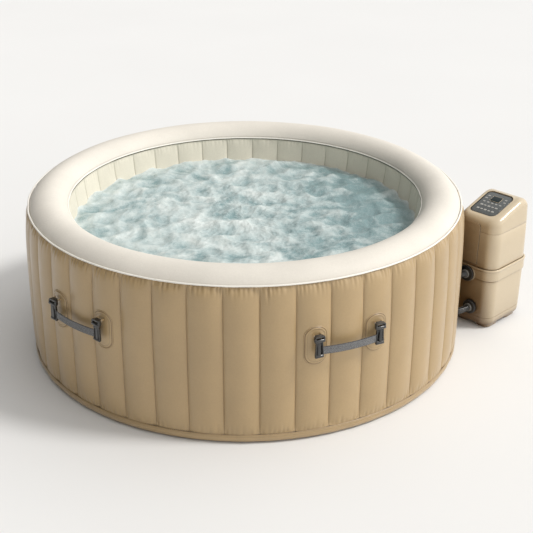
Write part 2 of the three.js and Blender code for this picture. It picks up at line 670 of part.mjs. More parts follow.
function addPipe(name, { across, height, nut, nutBack, spigot, pipe, portY }) {
  const outward = new THREE.Vector3(-Math.cos(UNIT_TURN), -Math.sin(UNIT_TURN), 0);
  const start = onUnit(-SPIGOT_LENGTH - GAP, across, height);
  const end = new THREE.Vector3(PORT_OUTSIDE + GAP, portY, height);
  const reach = start.distanceTo(end);
  const curve = new THREE.CubicBezierCurve3(
    start,
    start.clone().addScaledVector(outward, reach * 0.45),
    end.clone().add(new THREE.Vector3(reach * 0.3, 0, 0)),
    end,
  );
  const collarStart = -SPIGOT_LENGTH - COLLAR.start;
  const collar = facing(pipe + COLLAR.proud, collarStart - COLLAR.length, collarStart, across, height);
  collar.rotateZ(UNIT_TURN).translate(UNIT_CORNER[0], UNIT_CORNER[1], 0);
  place(`${name}_pipe`, join(tubeAlong(curve, pipe, 5, 12), collar), darkPlastic, spa);

  const capInside = SPIGOT_LENGTH + 1;
  const capOutside = capInside + NUT.cap;
  const nutLine = [
    [pipe + NUT.lip, capInside],
    [pipe + NUT.lip, capOutside],
    [nut - NUT.chamfer, capOutside],
    [nut, capOutside - NUT.chamfer],
    [nut, nutBack],
    [spigot + TURN_CLEARANCE, nutBack],
    [spigot + TURN_CLEARANCE, capInside],
  ];
  const nutGeometry = turned(nutLine.reverse(), FEW).rotateY(-PI / 2);
  place(`${name}_nut`, nutGeometry, blackPlastic, unit, [0, across, height]);

  const { flange, tube, lip } = PORT;
  const length = PORT_OUTSIDE - PORT_INSIDE;
  const portLine = [
    [pipe, 0],
    [flange, 0],
    [flange, lip],
    [tube, lip],
    [tube, length - lip],
    [flange, length - lip],
    [flange, length],
    [pipe, length],
  ];
  const port = turned(portLine, FEW).rotateY(PI / 2);
  place(`${name}_port`, port, darkPlastic, spa, [PORT_INSIDE, portY, height]);
}

function addAirHose() {
  place("air_hose", tubeAlong(airCurve, AIR.hose, AIR.steps, AIR.facets), darkPlastic, spa);
}

// ---------- valves ----------

function addValve(name, { angle, height, innerEnd }) {
  const { bore, stem, flange, lip } = VALVE;
  const line = [
    [bore, innerEnd],
    [stem, innerEnd],
    [stem, 1],
    [flange, 1],
    [flange, lip],
    [bore, lip],
  ];
  place(`${name}_valve`, onWall(turned(line, 12), angle, height), darkPlastic, spa);
  const plug = rod(VALVE_CAP.plug, VALVE_CAP.plugLength, 8).translate(0, 0, VALVE_CAP.plugEnd);
  const cap = join(rod(VALVE_CAP.radius, VALVE_CAP.thickness, 12).translate(0, 0, lip + GAP), plug);
  place(`${name}_cap`, onWall(cap, angle, height), blackPlastic, spa);
}

// ---------- machinery inside the unit ----------

// Turns a piece made along +Z so that it runs along +X.
function alongX(geometry) {
  return geometry.rotateY(PI / 2);
}

// Vanes round Z, each from the hub out to the given radius.
function vanes(count, hub, radius, thickness, height) {
  const half = thickness / 2;
  const turn = (2 * PI) / count;
  return Array.from({ length: count }, (_, index) =>
    block(hub, radius, -half, half, 0, height).rotateZ(index * turn),
  );
}

const PUMP = { start: 24, inlet: 18, chamber: 48, shell: 4, chamberLength: 38, motor: 40, length: 150 };
const SHAFT = { radius: 4.4, length: 42, start: 8, seat: 5, seatEnd: 64 };
const OUTLET = { radius: 14, bore: 10, along: 19, length: 34 };
const IMPELLER = { start: 10, radius: 36, disc: 4, discStart: 9, hub: 9, hubLength: 12 };
const IMPELLER_VANE = { radius: 34, thickness: 2.4, height: 10 };

function addCirculationPump() {
  const { start, inlet, chamber, shell, chamberLength, motor, length } = PUMP;
  const line = [
    [inlet, 0],
    [chamber, 0],
    [chamber, chamberLength],
    [motor, chamberLength + shell],
    [motor, length],
    [0, length],
    [0, SHAFT.seatEnd],
    [SHAFT.seat, SHAFT.seatEnd],
    [SHAFT.seat, chamberLength - shell],
    [chamber - shell, chamberLength - shell],
    [chamber - shell, shell],
    [inlet, shell],
  ];
  const body = alongX(turned(line, FEW));
  const outletStart = chamber - shell;
  const outlet = rod(OUTLET.radius, OUTLET.length, 10).translate(OUTLET.along, 0, outletStart);
  const outletBore = rod(OUTLET.bore, 2 * OUTLET.length, 10);
  outletBore.translate(OUTLET.along, 0, outletStart - shell);
  const hollowPump = cut(join(body, outlet), outletBore);
  place("circulation_pump", hollowPump, blackPlastic, unit, [start, SUCTION.across, SUCTION.height]);

  const impeller = join(
    rod(IMPELLER.radius, IMPELLER.disc, FEW).translate(0, 0, IMPELLER.discStart),
    rod(IMPELLER.hub, IMPELLER.hubLength, 10),
    rod(SHAFT.radius, SHAFT.length, 8).translate(0, 0, SHAFT.start),
    ...vanes(6, IMPELLER.hub - 1, IMPELLER_VANE.radius, IMPELLER_VANE.thickness, IMPELLER_VANE.height),
  );
  const impellerPlace = [start + IMPELLER.start, SUCTION.across, SUCTION.height];
  place("impeller", alongX(impeller), greyWebbing, unit, impellerPlace);
}

const BLOWER = { place: [110, 112, 330], radius: 58, height: 60, shell: 4, inlet: 22, shaft: 6 };
const FAN = { rise: 12, radius: 46, disc: 3, hub: 16, height: 30 };

function addBlower() {
  const { radius, height, shell, inlet, shaft } = BLOWER;
  const line = [
    [radius - shell, height - shell],
    [radius - shell, shell],
    [shaft, shell],
    [shaft, 0],
    [radius, 0],
    [radius, height],
    [inlet, height],
    [inlet, height - shell],
  ];
  place("air_blower", turned(line, FEW), blackPlastic, unit, BLOWER.place);
  const fan = join(
    rod(FAN.radius, FAN.disc, FEW),
    rod(FAN.hub, FAN.height, 10),
    ...vanes(6, FAN.hub - 2, FAN.radius, 2, FAN.height),
  );
  const [x, y, bottom] = BLOWER.place;
  place("blower_fan", fan, steel, unit, [x, y, bottom + FAN.rise]);
}

const HEATER = { place: [40, 150, 215], radius: 24, length: 180, stub: 12, stubLength: 26, stubInset: 20 };
const CARTRIDGE = { place: [232, 112, 64], core: 14, radius: 42, length: 110 };
const TERMINALS = { width: 32, back: -34, front: -10, start: 60, end: 120 };
const BOARD = { place: [160, 30, 390], length: 110, width: 80, thickness: 2 };
const TRANSFORMER = { start: 20, end: 50, bottom: 20, top: 50, proud: 14 };
const RELAY = { start: 70, end: 95, bottom: 30, top: 60, proud: 20 };

function addMachinery() {
  addCirculationPump();
  addBlower();
  const stubs = [HEATER.stubInset, HEATER.length - HEATER.stubInset].map((along) =>
    rod(HEATER.stub, HEATER.stubLength, 10).rotateX(-PI / 2).translate(0, 0, along),
  );
  const { width, back, front, start, end } = TERMINALS;
  const terminalBox = block(-width / 2, width / 2, back, front, start, end);
  const heater = join(rod(HEATER.radius, HEATER.length), ...stubs, terminalBox);
  place("heater_tube", alongX(heater), steel, unit, HEATER.place);
  const { core, radius, length } = CARTRIDGE;
  const cartridge = turned([[core, 0], [radius, 0], [radius, length], [core, length]], FEW);
  place("filter_cartridge", cartridge, paperPleats, unit, CARTRIDGE.place);
  const laminate = block(0, BOARD.length, 0, BOARD.thickness, 0, BOARD.width);
  const [transformer, relay] = [TRANSFORMER, RELAY].map((item) =>
    block(item.start, item.end, BOARD.thickness, item.proud, item.bottom, item.top),
  );
  place("circuit_board", join(laminate, transformer, relay), boardLaminate, unit, BOARD.place);
}

// ---------- the whole spa ----------

addTub();
addWebs();
addBubbleRing();
for (const [where, angle] of Object.entries(HANDLE_ANGLES)) {
  addHandle(where, angle);
}
addHousings();
addPipe("return", RETURN);
addPipe("suction", SUCTION);
addAirHose();
addValve("inflation", INFLATION_VALVE);
addValve("drain", DRAIN_VALVE);
addMachinery();

export default spa;
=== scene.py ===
"""An inflatable hot tub and its control unit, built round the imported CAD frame. Metres, +Z up."""

import json
import math

import bmesh
import bpy
import numpy as np
from mathutils import Matrix, Vector


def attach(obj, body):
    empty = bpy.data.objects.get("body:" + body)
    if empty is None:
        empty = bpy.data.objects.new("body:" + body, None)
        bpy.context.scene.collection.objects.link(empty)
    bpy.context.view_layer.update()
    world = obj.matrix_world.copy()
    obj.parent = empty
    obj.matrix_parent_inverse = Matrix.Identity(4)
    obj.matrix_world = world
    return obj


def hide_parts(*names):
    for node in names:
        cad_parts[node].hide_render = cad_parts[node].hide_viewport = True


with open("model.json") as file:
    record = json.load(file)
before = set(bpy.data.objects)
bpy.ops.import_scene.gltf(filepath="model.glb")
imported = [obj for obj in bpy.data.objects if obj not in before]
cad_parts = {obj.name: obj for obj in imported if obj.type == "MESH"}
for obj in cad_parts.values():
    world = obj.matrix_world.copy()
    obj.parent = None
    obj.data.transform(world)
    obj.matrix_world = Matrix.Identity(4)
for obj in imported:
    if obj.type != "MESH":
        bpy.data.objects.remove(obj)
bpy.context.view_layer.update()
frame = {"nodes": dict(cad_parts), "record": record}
ROOT = "tub_and_unit"
random = np.random.default_rng(7)

# ---------- camera ----------

# Solved from the circles of the tub's rim, seams and foot in the photo.
CAMERA_PLACE = (0.0, -4.8267, 2.5877)
CAMERA_YAW = math.radians(-1.1354)
CAMERA_PITCH = math.radians(90 - 25.1494)
CAMERA_ROLL = math.radians(0.1791)
CAMERA_LENS = 78.0


def add_camera():
    data = bpy.data.cameras.new("camera")
    data.lens = CAMERA_LENS
    camera = bpy.data.objects.new("camera", data)
    turn = Matrix.Rotation(CAMERA_YAW, 4, "Z") @ Matrix.Rotation(CAMERA_PITCH, 4, "X")
    camera.matrix_world = Matrix.Translation(CAMERA_PLACE) @ turn @ Matrix.Rotation(CAMERA_ROLL, 4, "Z")
    bpy.context.collection.objects.link(camera)
    bpy.context.scene.camera = camera


add_camera()

# ---------- driving dimensions ----------

WALL_RADIUS = 0.982
BASE_SEAM = 0.0425
# The wall's side view, from the base seam to the piping, as (radius, height) at the panels' crowns.
WALL_LINE = [(0.9735, BASE_SEAM), (0.9785, 0.072), (0.981, 0.14), (0.982, 0.3), (0.9815, 0.45)]
WALL_LINE += [(0.979, 0.56), (0.9745, 0.628), (0.969, 0.66), (0.962, 0.6765), (0.956, 0.6835), (0.951, 0.685)]
WALL_QUILT = {"panels": 43, "seam": math.radians(-86.9)}  # seam: the direction of one of its seams
WALL_CROWN = 0.017
# The wall's foot, from its base seam down to the ground, as (radius, height).
BASE_LINE = [(0.973, BASE_SEAM), (0.9752, 0.0416), (0.9764, 0.04), (0.9758, 0.0385), (0.9768, 0.0368)]
BASE_LINE += [(0.9775, 0.0342), (0.9768, 0.033), (0.9774, 0.0312), (0.9768, 0.025), (0.9745, 0.017)]
BASE_LINE += [(0.97, 0.009), (0.963, 0.0036), (0.954, 0.001), (0.93, 0.0002)]
BASE_WELDS = (0.0385, 0.033)

LINER_LINE = [(0.783, 0.6735), (0.7775, 0.655), (0.769, 0.6), (0.757, 0.52), (0.748, 0.4), (0.745, 0.3)]
LINER_LINE += [(0.747, 0.2), (0.754, 0.11), (0.768, 0.012)]
LINER_RADIUS = 0.76  # about halfway up it
LINER_QUILT = {"panels": 38, "seam": math.radians(87.3)}
LINER_CROWN = 0.0095
SEAM_DEPTH = 0.0012
# Puckers along a sewn edge. Their width is an angle round the tub.
WALL_TOP_GATHERS = {"per_panel": 8, "depth": 0.0075, "length": 0.032, "width": 0.0056}
WALL_BASE_GATHERS = {"per_panel": 7, "depth": 0.0042, "length": 0.03, "width": 0.0056}
BAND_GATHERS = {"per_panel": 7, "depth": 0.001, "length": 0.015, "width": 0.0045}
LINER_GATHERS = {"per_panel": 7, "depth": 0.0034, "length": 0.026, "width": 0.0062}

# The rim's two seams, its piping and its mouth's welt, as (radius, height).
RING_MOUTH = (0.784, 0.677)
RING_RIM = (0.953, 0.688)
RING_CROWN = 0.052
PIPING = (0.9582, 0.6892)
PIPING_RADIUS = 0.0037
MOUTH_WELT = (0.7845, 0.6785)
MOUTH_WELT_RADIUS = 0.0026
WATER_LEVEL = 0.572
WATER_RADIUS = 0.772
# The water's waves: their length, their height and how many there are of each kind.
WATER_WAVES = ((0.3, 0.006, 7), (0.14, 0.0028, 10), (0.06, 0.001, 14), (0.028, 0.0005, 18))

HANDLES = {"front_right": -66.4, "front_left": -132.9, "back_right": 66.4, "back_left": 132.9}
HANDLE_SPREAD = math.radians(7.75)
HINGE = (0.007, 0.479)  # out from the wall's face, and up
PATCH = {"width": 0.1, "height": 0.168, "corner": 0.046, "centre": 0.428}
STRAP = {"height": 0.034, "thickness": 0.0035, "bottom": 0.401, "start": 0.017, "bow": 0.012}
BUCKLE_HEAD = 0.046
BUCKLE_FOOT = 0.038
BUCKLE_DROP = 0.09
LUG = {"reach": 0.012, "rounding": 0.004, "thickness": 0.003, "offset": 0.0152}

UNIT = Matrix.Translation((1.134, -0.052, 0)) @ Matrix.Rotation(math.radians(44), 4, "Z")
UNIT_LENGTH = 0.29
UNIT_WIDTH = 0.225
UNIT_CORNER = 0.055
COVER_SPLIT = 0.485
COVER_INSET = 0.004  # how far the sides have drawn in where the top's rounding starts
TOP_AT_FRONT = 0.5415
TOP_SLOPE = 0.3
TOP_ROUNDING = 0.031
TOP_CREST = 0.2
TOP_DROP = 0.125
PANEL = {"length": 0.172, "width": 0.144, "corner": 0.029, "recess": 0.006, "along": 0.128, "across": 0.122}
PANEL_FRAME = (
    UNIT
    @ Matrix.Translation((PANEL["along"], PANEL["across"], TOP_AT_FRONT + TOP_SLOPE * PANEL["along"]))
    @ Matrix.Rotation(-math.atan(TOP_SLOPE), 4, "Y")
)

# ---------- node trees ----------


class Nodes:
    """A node tree, and short calls that add to it."""

    def __init__(self, tree):
        self.nodes = tree.nodes
        self.links = tree.links

    def node(self, kind, inputs=(), **settings):
        node = self.nodes.new(kind)
        for name, value in settings.items():
            setattr(node, name, value)
        for key, value in dict(inputs).items():
            if isinstance(value, bpy.types.NodeSocket):
                self.links.new(value, node.inputs[key])
            else:
                node.inputs[key].default_value = value
        return node

    def place(self, stretch=(1, 1, 1), source="Object"):
        where = self.node("ShaderNodeTexCoord").outputs[source]
        return self.node("ShaderNodeMapping", {"Vector": where, "Scale": stretch}).outputs[0]

    def noise(self, scale, detail=3, roughness=0.5, distortion=0, where=None, **settings):
        inputs = {"Scale": scale, "Detail": detail, "Roughness": roughness, "Distortion": distortion}
        inputs["Vector"] = where or self.place()
        return self.node("ShaderNodeTexNoise", inputs, **settings).outputs["Fac"]

    def cells(self, scale, feature="F1"):
        inputs = {"Scale": scale, "Vector": self.place()}
        return self.node("ShaderNodeTexVoronoi", inputs, feature=feature).outputs["Distance"]

    def waves(self, scale, axis, where, distortion=0.0):
        inputs = {"Scale": scale, "Vector": where, "Distortion": distortion}
        return self.node("ShaderNodeTexWave", inputs, bands_direction=axis).outputs["Fac"]

    def attribute(self, name):
        return self.node("ShaderNodeAttribute", attribute_name=name).outputs["Fac"]

    def shelter(self, reach):
        """0 in the open, rising to 1 where other surfaces close in within the reach: the mask for painted
        shade.
        """
        made = self.node("ShaderNodeAmbientOcclusion", {"Distance": reach}, samples=8)
        return self.remap(made.outputs["AO"], 0.2, 0.64, 1.0, 0.0)

    def math(self, operation, first, second):
        return self.node("ShaderNodeMath", {0: first, 1: second}, operation=operation).outputs[0]

    def remap(self, value, low, high, new_low=0.0, new_high=1.0):
        inputs = {"Value": value, "From Min": low, "From Max": high, "To Min": new_low, "To Max": new_high}
        return self.node("ShaderNodeMapRange", inputs).outputs[0]

    def ramp(self, value, stops):
        node = self.node("ShaderNodeValToRGB", {"Fac": value})
        elements = node.color_ramp.elements
        while len(elements) < len(stops):
            elements.new(0.5)
        for element, (position, colour) in zip(elements, stops):
            element.position = position
            element.color = (*colour, 1)
        return node.outputs["Color"]

    def mix(self, factor, first, second):
        node = self.nodes.new("ShaderNodeMix")
        node.data_type = "RGBA"
        for index, value in ((0, factor), (6, first), (7, second)):
            if isinstance(value, bpy.types.NodeSocket):
                self.links.new(value, node.inputs[index])
            else:
                node.inputs[index].default_value = value if index == 0 else (*value, 1)
        return node.outputs[2]

    def mottled(self, colour, dark, light, scale, detail):
        """The colour, slowly varying between two factors of it."""
        return self.ramp(self.noise(scale, detail), [(0.3, shade(colour, dark)), (0.7, shade(colour, light))])

    def flecked(self, tone, fleck, amount, scale, detail):
        """The tone with fine flecks of a colour over it."""
        return self.mix(self.remap(self.noise(scale, detail), 0.35, 0.65, 0.0, amount), tone, fleck)

    def patchy(self, low, high, scale, detail=3):
        """A value that varies from place to place between low and high."""
        return self.remap(self.noise(scale, detail), 0.3, 0.7, low, high)

    def bump(self, height, distance, strength, below=None):
        inputs = {"Height": height, "Distance": distance, "Strength": strength}
        if below:
            inputs["Normal"] = below
        return self.node("ShaderNodeBump", inputs).outputs[0]


class Look(Nodes):
    """A material with a Principled shader."""

    def __init__(self, name, **constants):
        self.material = bpy.data.materials.new(name)
        self.material.use_nodes = True
        super().__init__(self.material.node_tree)
        self.shader = self.nodes["Principled BSDF"]
        for socket, value in constants.items():
            self.shader.inputs[socket.replace("_", " ")].default_value = value

    def finish(self, colour, roughness, normal=None):
        for socket, value in (("Base Color", colour), ("Roughness", roughness), ("Normal", normal)):
            if value is not None:
                self.links.new(value, self.shader.inputs[socket])
        return self.material


def shade(colour, factor):
    return tuple(channel * factor for channel in colour)


def vinyl(name, colour, crease_shade, roughness, coat=0.0, specular=0.4):
    """Embossed vinyl sheet: a fine grain and broad uneven tone, with shade painted into the creases and seams
    that the crease value marks.
    """
    look = Look(name, Coat_Weight=coat, Coat_Roughness=0.4, Specular_IOR_Level=specular)
    tone = look.mottled(colour, 0.95, 1.04, 6, 5)
    tone = look.flecked(tone, shade(colour, 0.74), 0.16, 380, 2)
    tone = look.flecked(tone, shade(colour, 0.76), 0.14, 130, 4)
    # Painted shade: the crease value darkens the tone towards the crease shade.
    tone = look.mix(look.attribute("crease"), tone, crease_shade)
    grain = look.bump(look.noise(650, 2), 0.0004, 0.35)
    slack = look.bump(look.noise(16, where=look.place((1, 1, 0.45))), 0.004, 0.3, grain)
    return look.finish(tone, look.patchy(roughness - 0.05, roughness + 0.07, 30, 4), slack)


def moulded(name, colour, roughness, grain, coat=0.0, painted_shade_colour=None):
    """Injection-moulded plastic: fine spark-eroded grain, slight tone changes and softer scuffed patches.
    Where other surfaces close in round the piece, its tone is darkened to the painted shade colour."""
    look = Look(name, Coat_Weight=coat, Coat_Roughness=0.12)
    tone = look.flecked(look.mottled(colour, 0.98, 1.02, 4, 2), shade(colour, 0.8), 0.05, 1500, 1)
    if painted_shade_colour:
        # Painted shade: the tone darkens where other surfaces close in round the piece.
        tone = look.mix(look.shelter(0.42), tone, painted_shade_colour)
    texture = look.bump(look.noise(1300, 2), 0.0001, grain)
    return look.finish(tone, look.patchy(roughness - 0.02, roughness + 0.03, 14), texture)


def woven(name, light, dark, pitch):
    """Heather webbing: a twill of thick yarns in two greys, with fibre noise over it."""
    look = Look(name, Sheen_Weight=0.2, Sheen_Roughness=0.5, Specular_IOR_Level=0.25)
    where = look.place(source="UV")
    across = look.waves(0.5 / pitch, "DIAGONAL", where, 2.5)
    along = look.waves(0.8 / pitch, "X", where, 2.0)
    weave = look.math("MULTIPLY", across, along)
    fibre = look.noise(420, 4, 0.7)
    tone = look.mix(look.remap(weave, 0.02, 0.45), dark, light)
    tone = look.mix(look.remap(fibre, 0.42, 0.62, 0.0, 0.75), tone, shade(dark, 0.8))
    tone = look.mix(look.attribute("crease"), tone, shade(dark, 0.3))
    relief = look.math("ADD", weave, look.math("MULTIPLY", fibre, 0.5))
    gloss = look.remap(fibre, 0.3, 0.7, 0.7, 0.9)
    return look.finish(tone, gloss, look.bump(relief, 0.0007, 0.8))


def brushed(name, colour):
    look = Look(name, Metallic=1.0)
    streaks = look.noise(300, where=look.place((1, 1, 0.04)))
    tone = look.ramp(streaks, [(0.3, shade(colour, 0.85)), (0.7, colour)])
    return look.finish(tone, look.remap(streaks, 0.3, 0.7, 0.25, 0.4), look.bump(streaks, 0.0003, 0.3))


def pleated(name, colour):
    look = Look(name)
    pleats = look.waves(120, "X", look.place())
    tone = look.mix(look.remap(pleats, 0, 1), shade(colour, 0.6), colour)
    return look.finish(tone, look.patchy(0.8, 0.95, 300), look.bump(pleats, 0.002, 0.6))


def laminate(name, colour):
    look = Look(name)
    tracks = look.cells(180, feature="DISTANCE_TO_EDGE")
    tone = look.mix(look.remap(tracks, 0.03, 0.06), (0.3, 0.22, 0.08), colour)
    return look.finish(tone, look.patchy(0.35, 0.5, 200), look.bump(tracks, 0.0002, 0.3))


def foamy_water(name):
    """Churned, aerated water: soft teal hollows under a milky haze, with white wisps and fine bubbles."""
    look = Look(name, Specular_IOR_Level=0.45, IOR=1.33)
    haze = look.noise(3.4, 12, 0.6, 1.5)
    drift = look.noise(11, 9, 0.66, 1.6)
    wisps = look.noise(7.0, 6, 0.62, 0.9, noise_type="RIDGED_MULTIFRACTAL", normalize=True)
    bubbles = look.cells(260)
    froth_and_shade = look.math("MULTIPLY", haze, 1.15)
    # The froth value read from the mesh carries foam on the wave crests and painted shade towards the +X
    # side.
    for layer, weight in ((drift, 0.32), (look.attribute("froth_and_shade"), 0.2), (look.noise(190, 6, 0.8), 0.42)):
        froth_and_shade = look.math("ADD", froth_and_shade, look.math("MULTIPLY", layer, weight))
    stops = [(0.0, (0.2, 0.3, 0.31)), (0.3, (0.4, 0.485, 0.485)), (0.7, (0.6, 0.66, 0.645))]
    stops += [(1.0, (0.73, 0.77, 0.755))]
    tone = look.ramp(look.remap(froth_and_shade, 0.84, 1.32), stops)
    tone = look.mix(look.remap(wisps, 0.55, 0.85, 0.0, 0.5), tone, (0.76, 0.79, 0.775))
    tone = look.mix(look.remap(bubbles, 0.0, 0.34, 0.62, 0.0), tone, (0.84, 0.865, 0.85))
    tone = look.mix(look.attribute("crease"), tone, (0.74, 0.77, 0.755))
    relief = look.bump(bubbles, 0.0012, 0.35, look.bump(froth_and_shade, 0.01, 0.16))
    return look.finish(tone, look.remap(froth_and_shade, 0.8, 1.1, 0.28, 0.6), relief)


def glossy_panel(name, colour):
    """A printed membrane under a clear coat, a little uneven where keys press through."""
    look = Look(name, Coat_Weight=0.8, Coat_Roughness=0.08)
    tone = look.mottled(colour, 0.85, 1.15, 40, 3)
    return look.finish(tone, look.patchy(0.2, 0.3, 90), look.bump(look.noise(60), 0.0005, 0.3))


def display_look(name):
    """A liquid-crystal window with faint segment rows under dark glass."""
    look = Look(name, Coat_Weight=0.1, Coat_Roughness=0.2, Specular_IOR_Level=0.3)
    rows = look.waves(95, "X", look.place(), 2.0)
    tone = look.mix(look.remap(rows, 0.4, 0.9, 0.0, 0.5), (0.003, 0.011, 0.014), (0.008, 0.026, 0.031))
    return look.finish(tone, look.patchy(0.12, 0.2, 120))


def matt_floor(name):
    look = Look(name, Specular_IOR_Level=0.1)
    tone = look.ramp(look.noise(0.7, 2), [(0.3, (0.775, 0.775, 0.772)), (0.7, (0.79, 0.79, 0.787))])
    return look.finish(tone, look.patchy(0.75, 0.85, 40))


TAN = (0.44, 0.306, 0.15)
# The painted shade in the tan vinyl's creases and seams.
TAN_CREASE_SHADE = (0.15, 0.088, 0.034)
# The colour that the tan plastic darkens to where other surfaces close in: painted shade.
TAN_SHADE = (0.13, 0.068, 0.022)
CREAM = (0.745, 0.703, 0.632)
LOOKS = {
    "tan_vinyl": vinyl("tan vinyl", TAN, TAN_CREASE_SHADE, 0.44, coat=0.95),
    "cream_vinyl": vinyl("cream vinyl", CREAM, shade(CREAM, 0.55), 0.5, specular=0.2),
    "liner_vinyl": vinyl("liner vinyl", (0.76, 0.715, 0.6), (0.26, 0.24, 0.18), 0.5),
    "white_vinyl": vinyl("white vinyl piping", (0.9, 0.87, 0.8), (0.5, 0.46, 0.4), 0.35),
    "tan_plastic": moulded("tan plastic", (0.575, 0.475, 0.33), 0.34, 0.03, coat=0.45, painted_shade_colour=TAN_SHADE),
    "dark_plastic": moulded("dark grey plastic", (0.021, 0.02, 0.019), 0.28, 0.06, coat=0.6),
    "black_plastic": moulded("black plastic", (0.009, 0.009, 0.009), 0.3, 0.1, coat=0.3),
    "grey_webbing": woven("grey webbing", (0.44, 0.44, 0.435), (0.055, 0.055, 0.06), 0.0046),
    "panel_plastic": glossy_panel("panel membrane", (0.05, 0.058, 0.058)),
    "display_glass": display_look("display glass"),
    "button_plastic": moulded("button plastic", (0.38, 0.375, 0.355), 0.3, 0.06, coat=0.3),
    "steel": brushed("brushed steel", (0.58, 0.58, 0.57)),
    "board_laminate": laminate("board laminate", (0.03, 0.14, 0.06)),
    "filter_paper": pleated("filter paper", (0.78, 0.78, 0.75)),
    "collar_grey": moulded("collar grey plastic", (0.17, 0.165, 0.155), 0.28, 0.08, coat=0.5),
    "seam_shadow": moulded("seam shadow", (0.06, 0.045, 0.03), 0.7, 0.2),
    "churned_water": foamy_water("churned water"),
    "studio_floor": matt_floor("studio floor"),
}

# ---------- mesh tools ----------


def new_object(name, mesh, look):
    made = bpy.data.objects.new(name, mesh)
    bpy.context.collection.objects.link(made)
    mesh.materials.append(LOOKS[look])
    return made


def set_values(mesh, name, values):
    """Stores one number for each of a mesh's points, for its look to read."""
    layer = mesh.attributes.new(name, "FLOAT", "POINT")
    layer.data.foreach_set("value", np.ascontiguousarray(values, np.float32).reshape(-1))


def lofted(name, points, look, ring=True, closed=False, first_cap=False, last_cap=False, crease=0.0):
    """A smooth mesh from a (rows, columns, 3) array. ring joins the last column to the first, closed
    the last row to the first, and the caps fill the end rows. crease is a 0 to 1 value at each point
    that the looks read: painted shade in the vinyl's creases and seams, foam on the water, darker webbing
    edges."""
    points = np.asarray(points, float)
    rows, columns = points.shape[:2]
    index = np.arange(rows * columns).reshape(rows, columns)
    if closed:
        index = np.vstack([index, index[:1]])
    if ring:
        index = np.hstack([index, index[:, :1]])
    corners = [index[:-1, :-1], index[:-1, 1:], index[1:, 1:], index[1:, :-1]]
    faces = np.stack(corners, -1).reshape(-1, 4).tolist()
    if first_cap:
        faces.append(list(range(columns))[::-1])
    if last_cap:
        faces.append(list(range((rows - 1) * columns, rows * columns)))
    mesh = bpy.data.meshes.new(name)
    mesh.from_pydata(points.reshape(-1, 3).tolist(), [], faces)
    mesh.shade_smooth()
    set_values(mesh, "crease", np.broadcast_to(crease, (rows, columns)))
    return new_object(name, mesh, look)


def full_turn(count):
    """Evenly spaced angles round a circle."""
    return np.linspace(0, 2 * math.pi, count, endpoint=False)


def around(profile, columns, lobes=0, depth=0.0, gripped=()):
    """Turns (radius, height) points about Z. The gripped points get lobes of that depth round them."""
    angles = full_turn(columns)
    rings = []
    for number, (radius, height) in enumerate(profile):
        radii = np.full(columns, radius)
        if number in gripped:
            radii -= depth * (0.5 - 0.5 * np.cos(lobes * angles)) ** 2
        rings.append(np.stack([radii * np.cos(angles), radii * np.sin(angles), np.full(columns, height)], -1))
    return np.array(rings)


def tangents_of(line):
    tangents = np.gradient(line, axis=0)
    return tangents / np.linalg.norm(tangents, axis=1)[:, None]


def lengths_along(line):
    return np.concatenate([[0], np.cumsum(np.linalg.norm(np.diff(line, axis=0), axis=1))])


def smooth_line(points, count, ends=0.0):
    """A smooth line through the points, evenly stepped, or with finer steps towards its ends."""
    points = np.asarray(points, float)
    padded = np.vstack([2 * points[0] - points[1], points, 2 * points[-1] - points[-2]])
    fine = []
    for a, b, c, d in zip(padded, padded[1:], padded[2:], padded[3:]):
        t = np.linspace(0, 1, 24, endpoint=False)[:, None]
        squared = (2 * a - 5 * b + 4 * c - d) * t**2
        cubed = (3 * b - a - 3 * c + d) * t**3
        fine.append(0.5 * (2 * b + (c - a) * t + squared + cubed))
    fine = np.vstack([*fine, points[-1:]])
    lengths = lengths_along(fine)
    steps = np.linspace(0, 1, count)
    steps = steps - ends * np.sin(2 * math.pi * steps) / (2 * math.pi)
    return np.stack([np.interp(steps * lengths[-1], lengths, column) for column in fine.T], -1)


def swept(name, path, section_radius, look, sides, ribs, rib_depth):
    """A tube along a path of points, with ribs round it."""
    tangents = tangents_of(path)
    shares = np.linspace(0, 1, len(path))
    radii = section_radius - rib_depth * (0.5 - 0.5 * np.cos(2 * math.pi * ribs * shares))
    side = np.cross(tangents[0], (0.01, 0.02, 1.0))
    angles = full_turn(sides)
    rings = []
    for point, tangent, radius in zip(path, tangents, radii):
        side = side - tangent * side.dot(tangent)
        side /= np.linalg.norm(side)
        over = np.cross(tangent, side)
        rings.append(point + radius * (np.outer(np.cos(angles), side) + np.outer(np.sin(angles), over)))
    return lofted(name, rings, look, first_cap=True, last_cap=True)


def plate(name, outlines, thickness, bevel, look):
    """A flat plate with rounded edges, in the XY plane and centred on z = 0.
    Outlines after the first are holes."""
    curve = bpy.data.curves.new(name, "CURVE")
    curve.dimensions = "2D"
    curve.fill_mode = "BOTH"
    curve.extrude = thickness / 2 - bevel
    curve.bevel_depth = bevel
    curve.bevel_resolution = 3
    curve.offset = -bevel
    for outline in outlines:
        spline = curve.splines.new("POLY")
        spline.points.add(len(outline) - 1)
        spline.use_cyclic_u = True
        for point, (x, y) in zip(spline.points, outline):
            point.co = (x, y, 0, 1)
    drawn = bpy.data.objects.new(name, curve)
    mesh = bpy.data.meshes.new_from_object(drawn)
    bpy.data.objects.remove(drawn)
    mesh.name = name
    mesh.shade_smooth()
    made = new_object(name, mesh, look)
    sharpen(made)
    return made


def sharpen(made, degrees=40):
    """Keeps the edges over an angle crisp."""
    mesh = bmesh.new()
    mesh.from_mesh(made.data)
    bmesh.ops.remove_doubles(mesh, verts=mesh.verts, dist=1e-6)
    for edge in mesh.edges:
        edge.smooth = edge.is_manifold and edge.calc_face_angle(0) < math.radians(degrees)
    mesh.to_mesh(made.data)
    mesh.free()


def moved(made, matrix):
    made.data.transform(matrix)
    return made


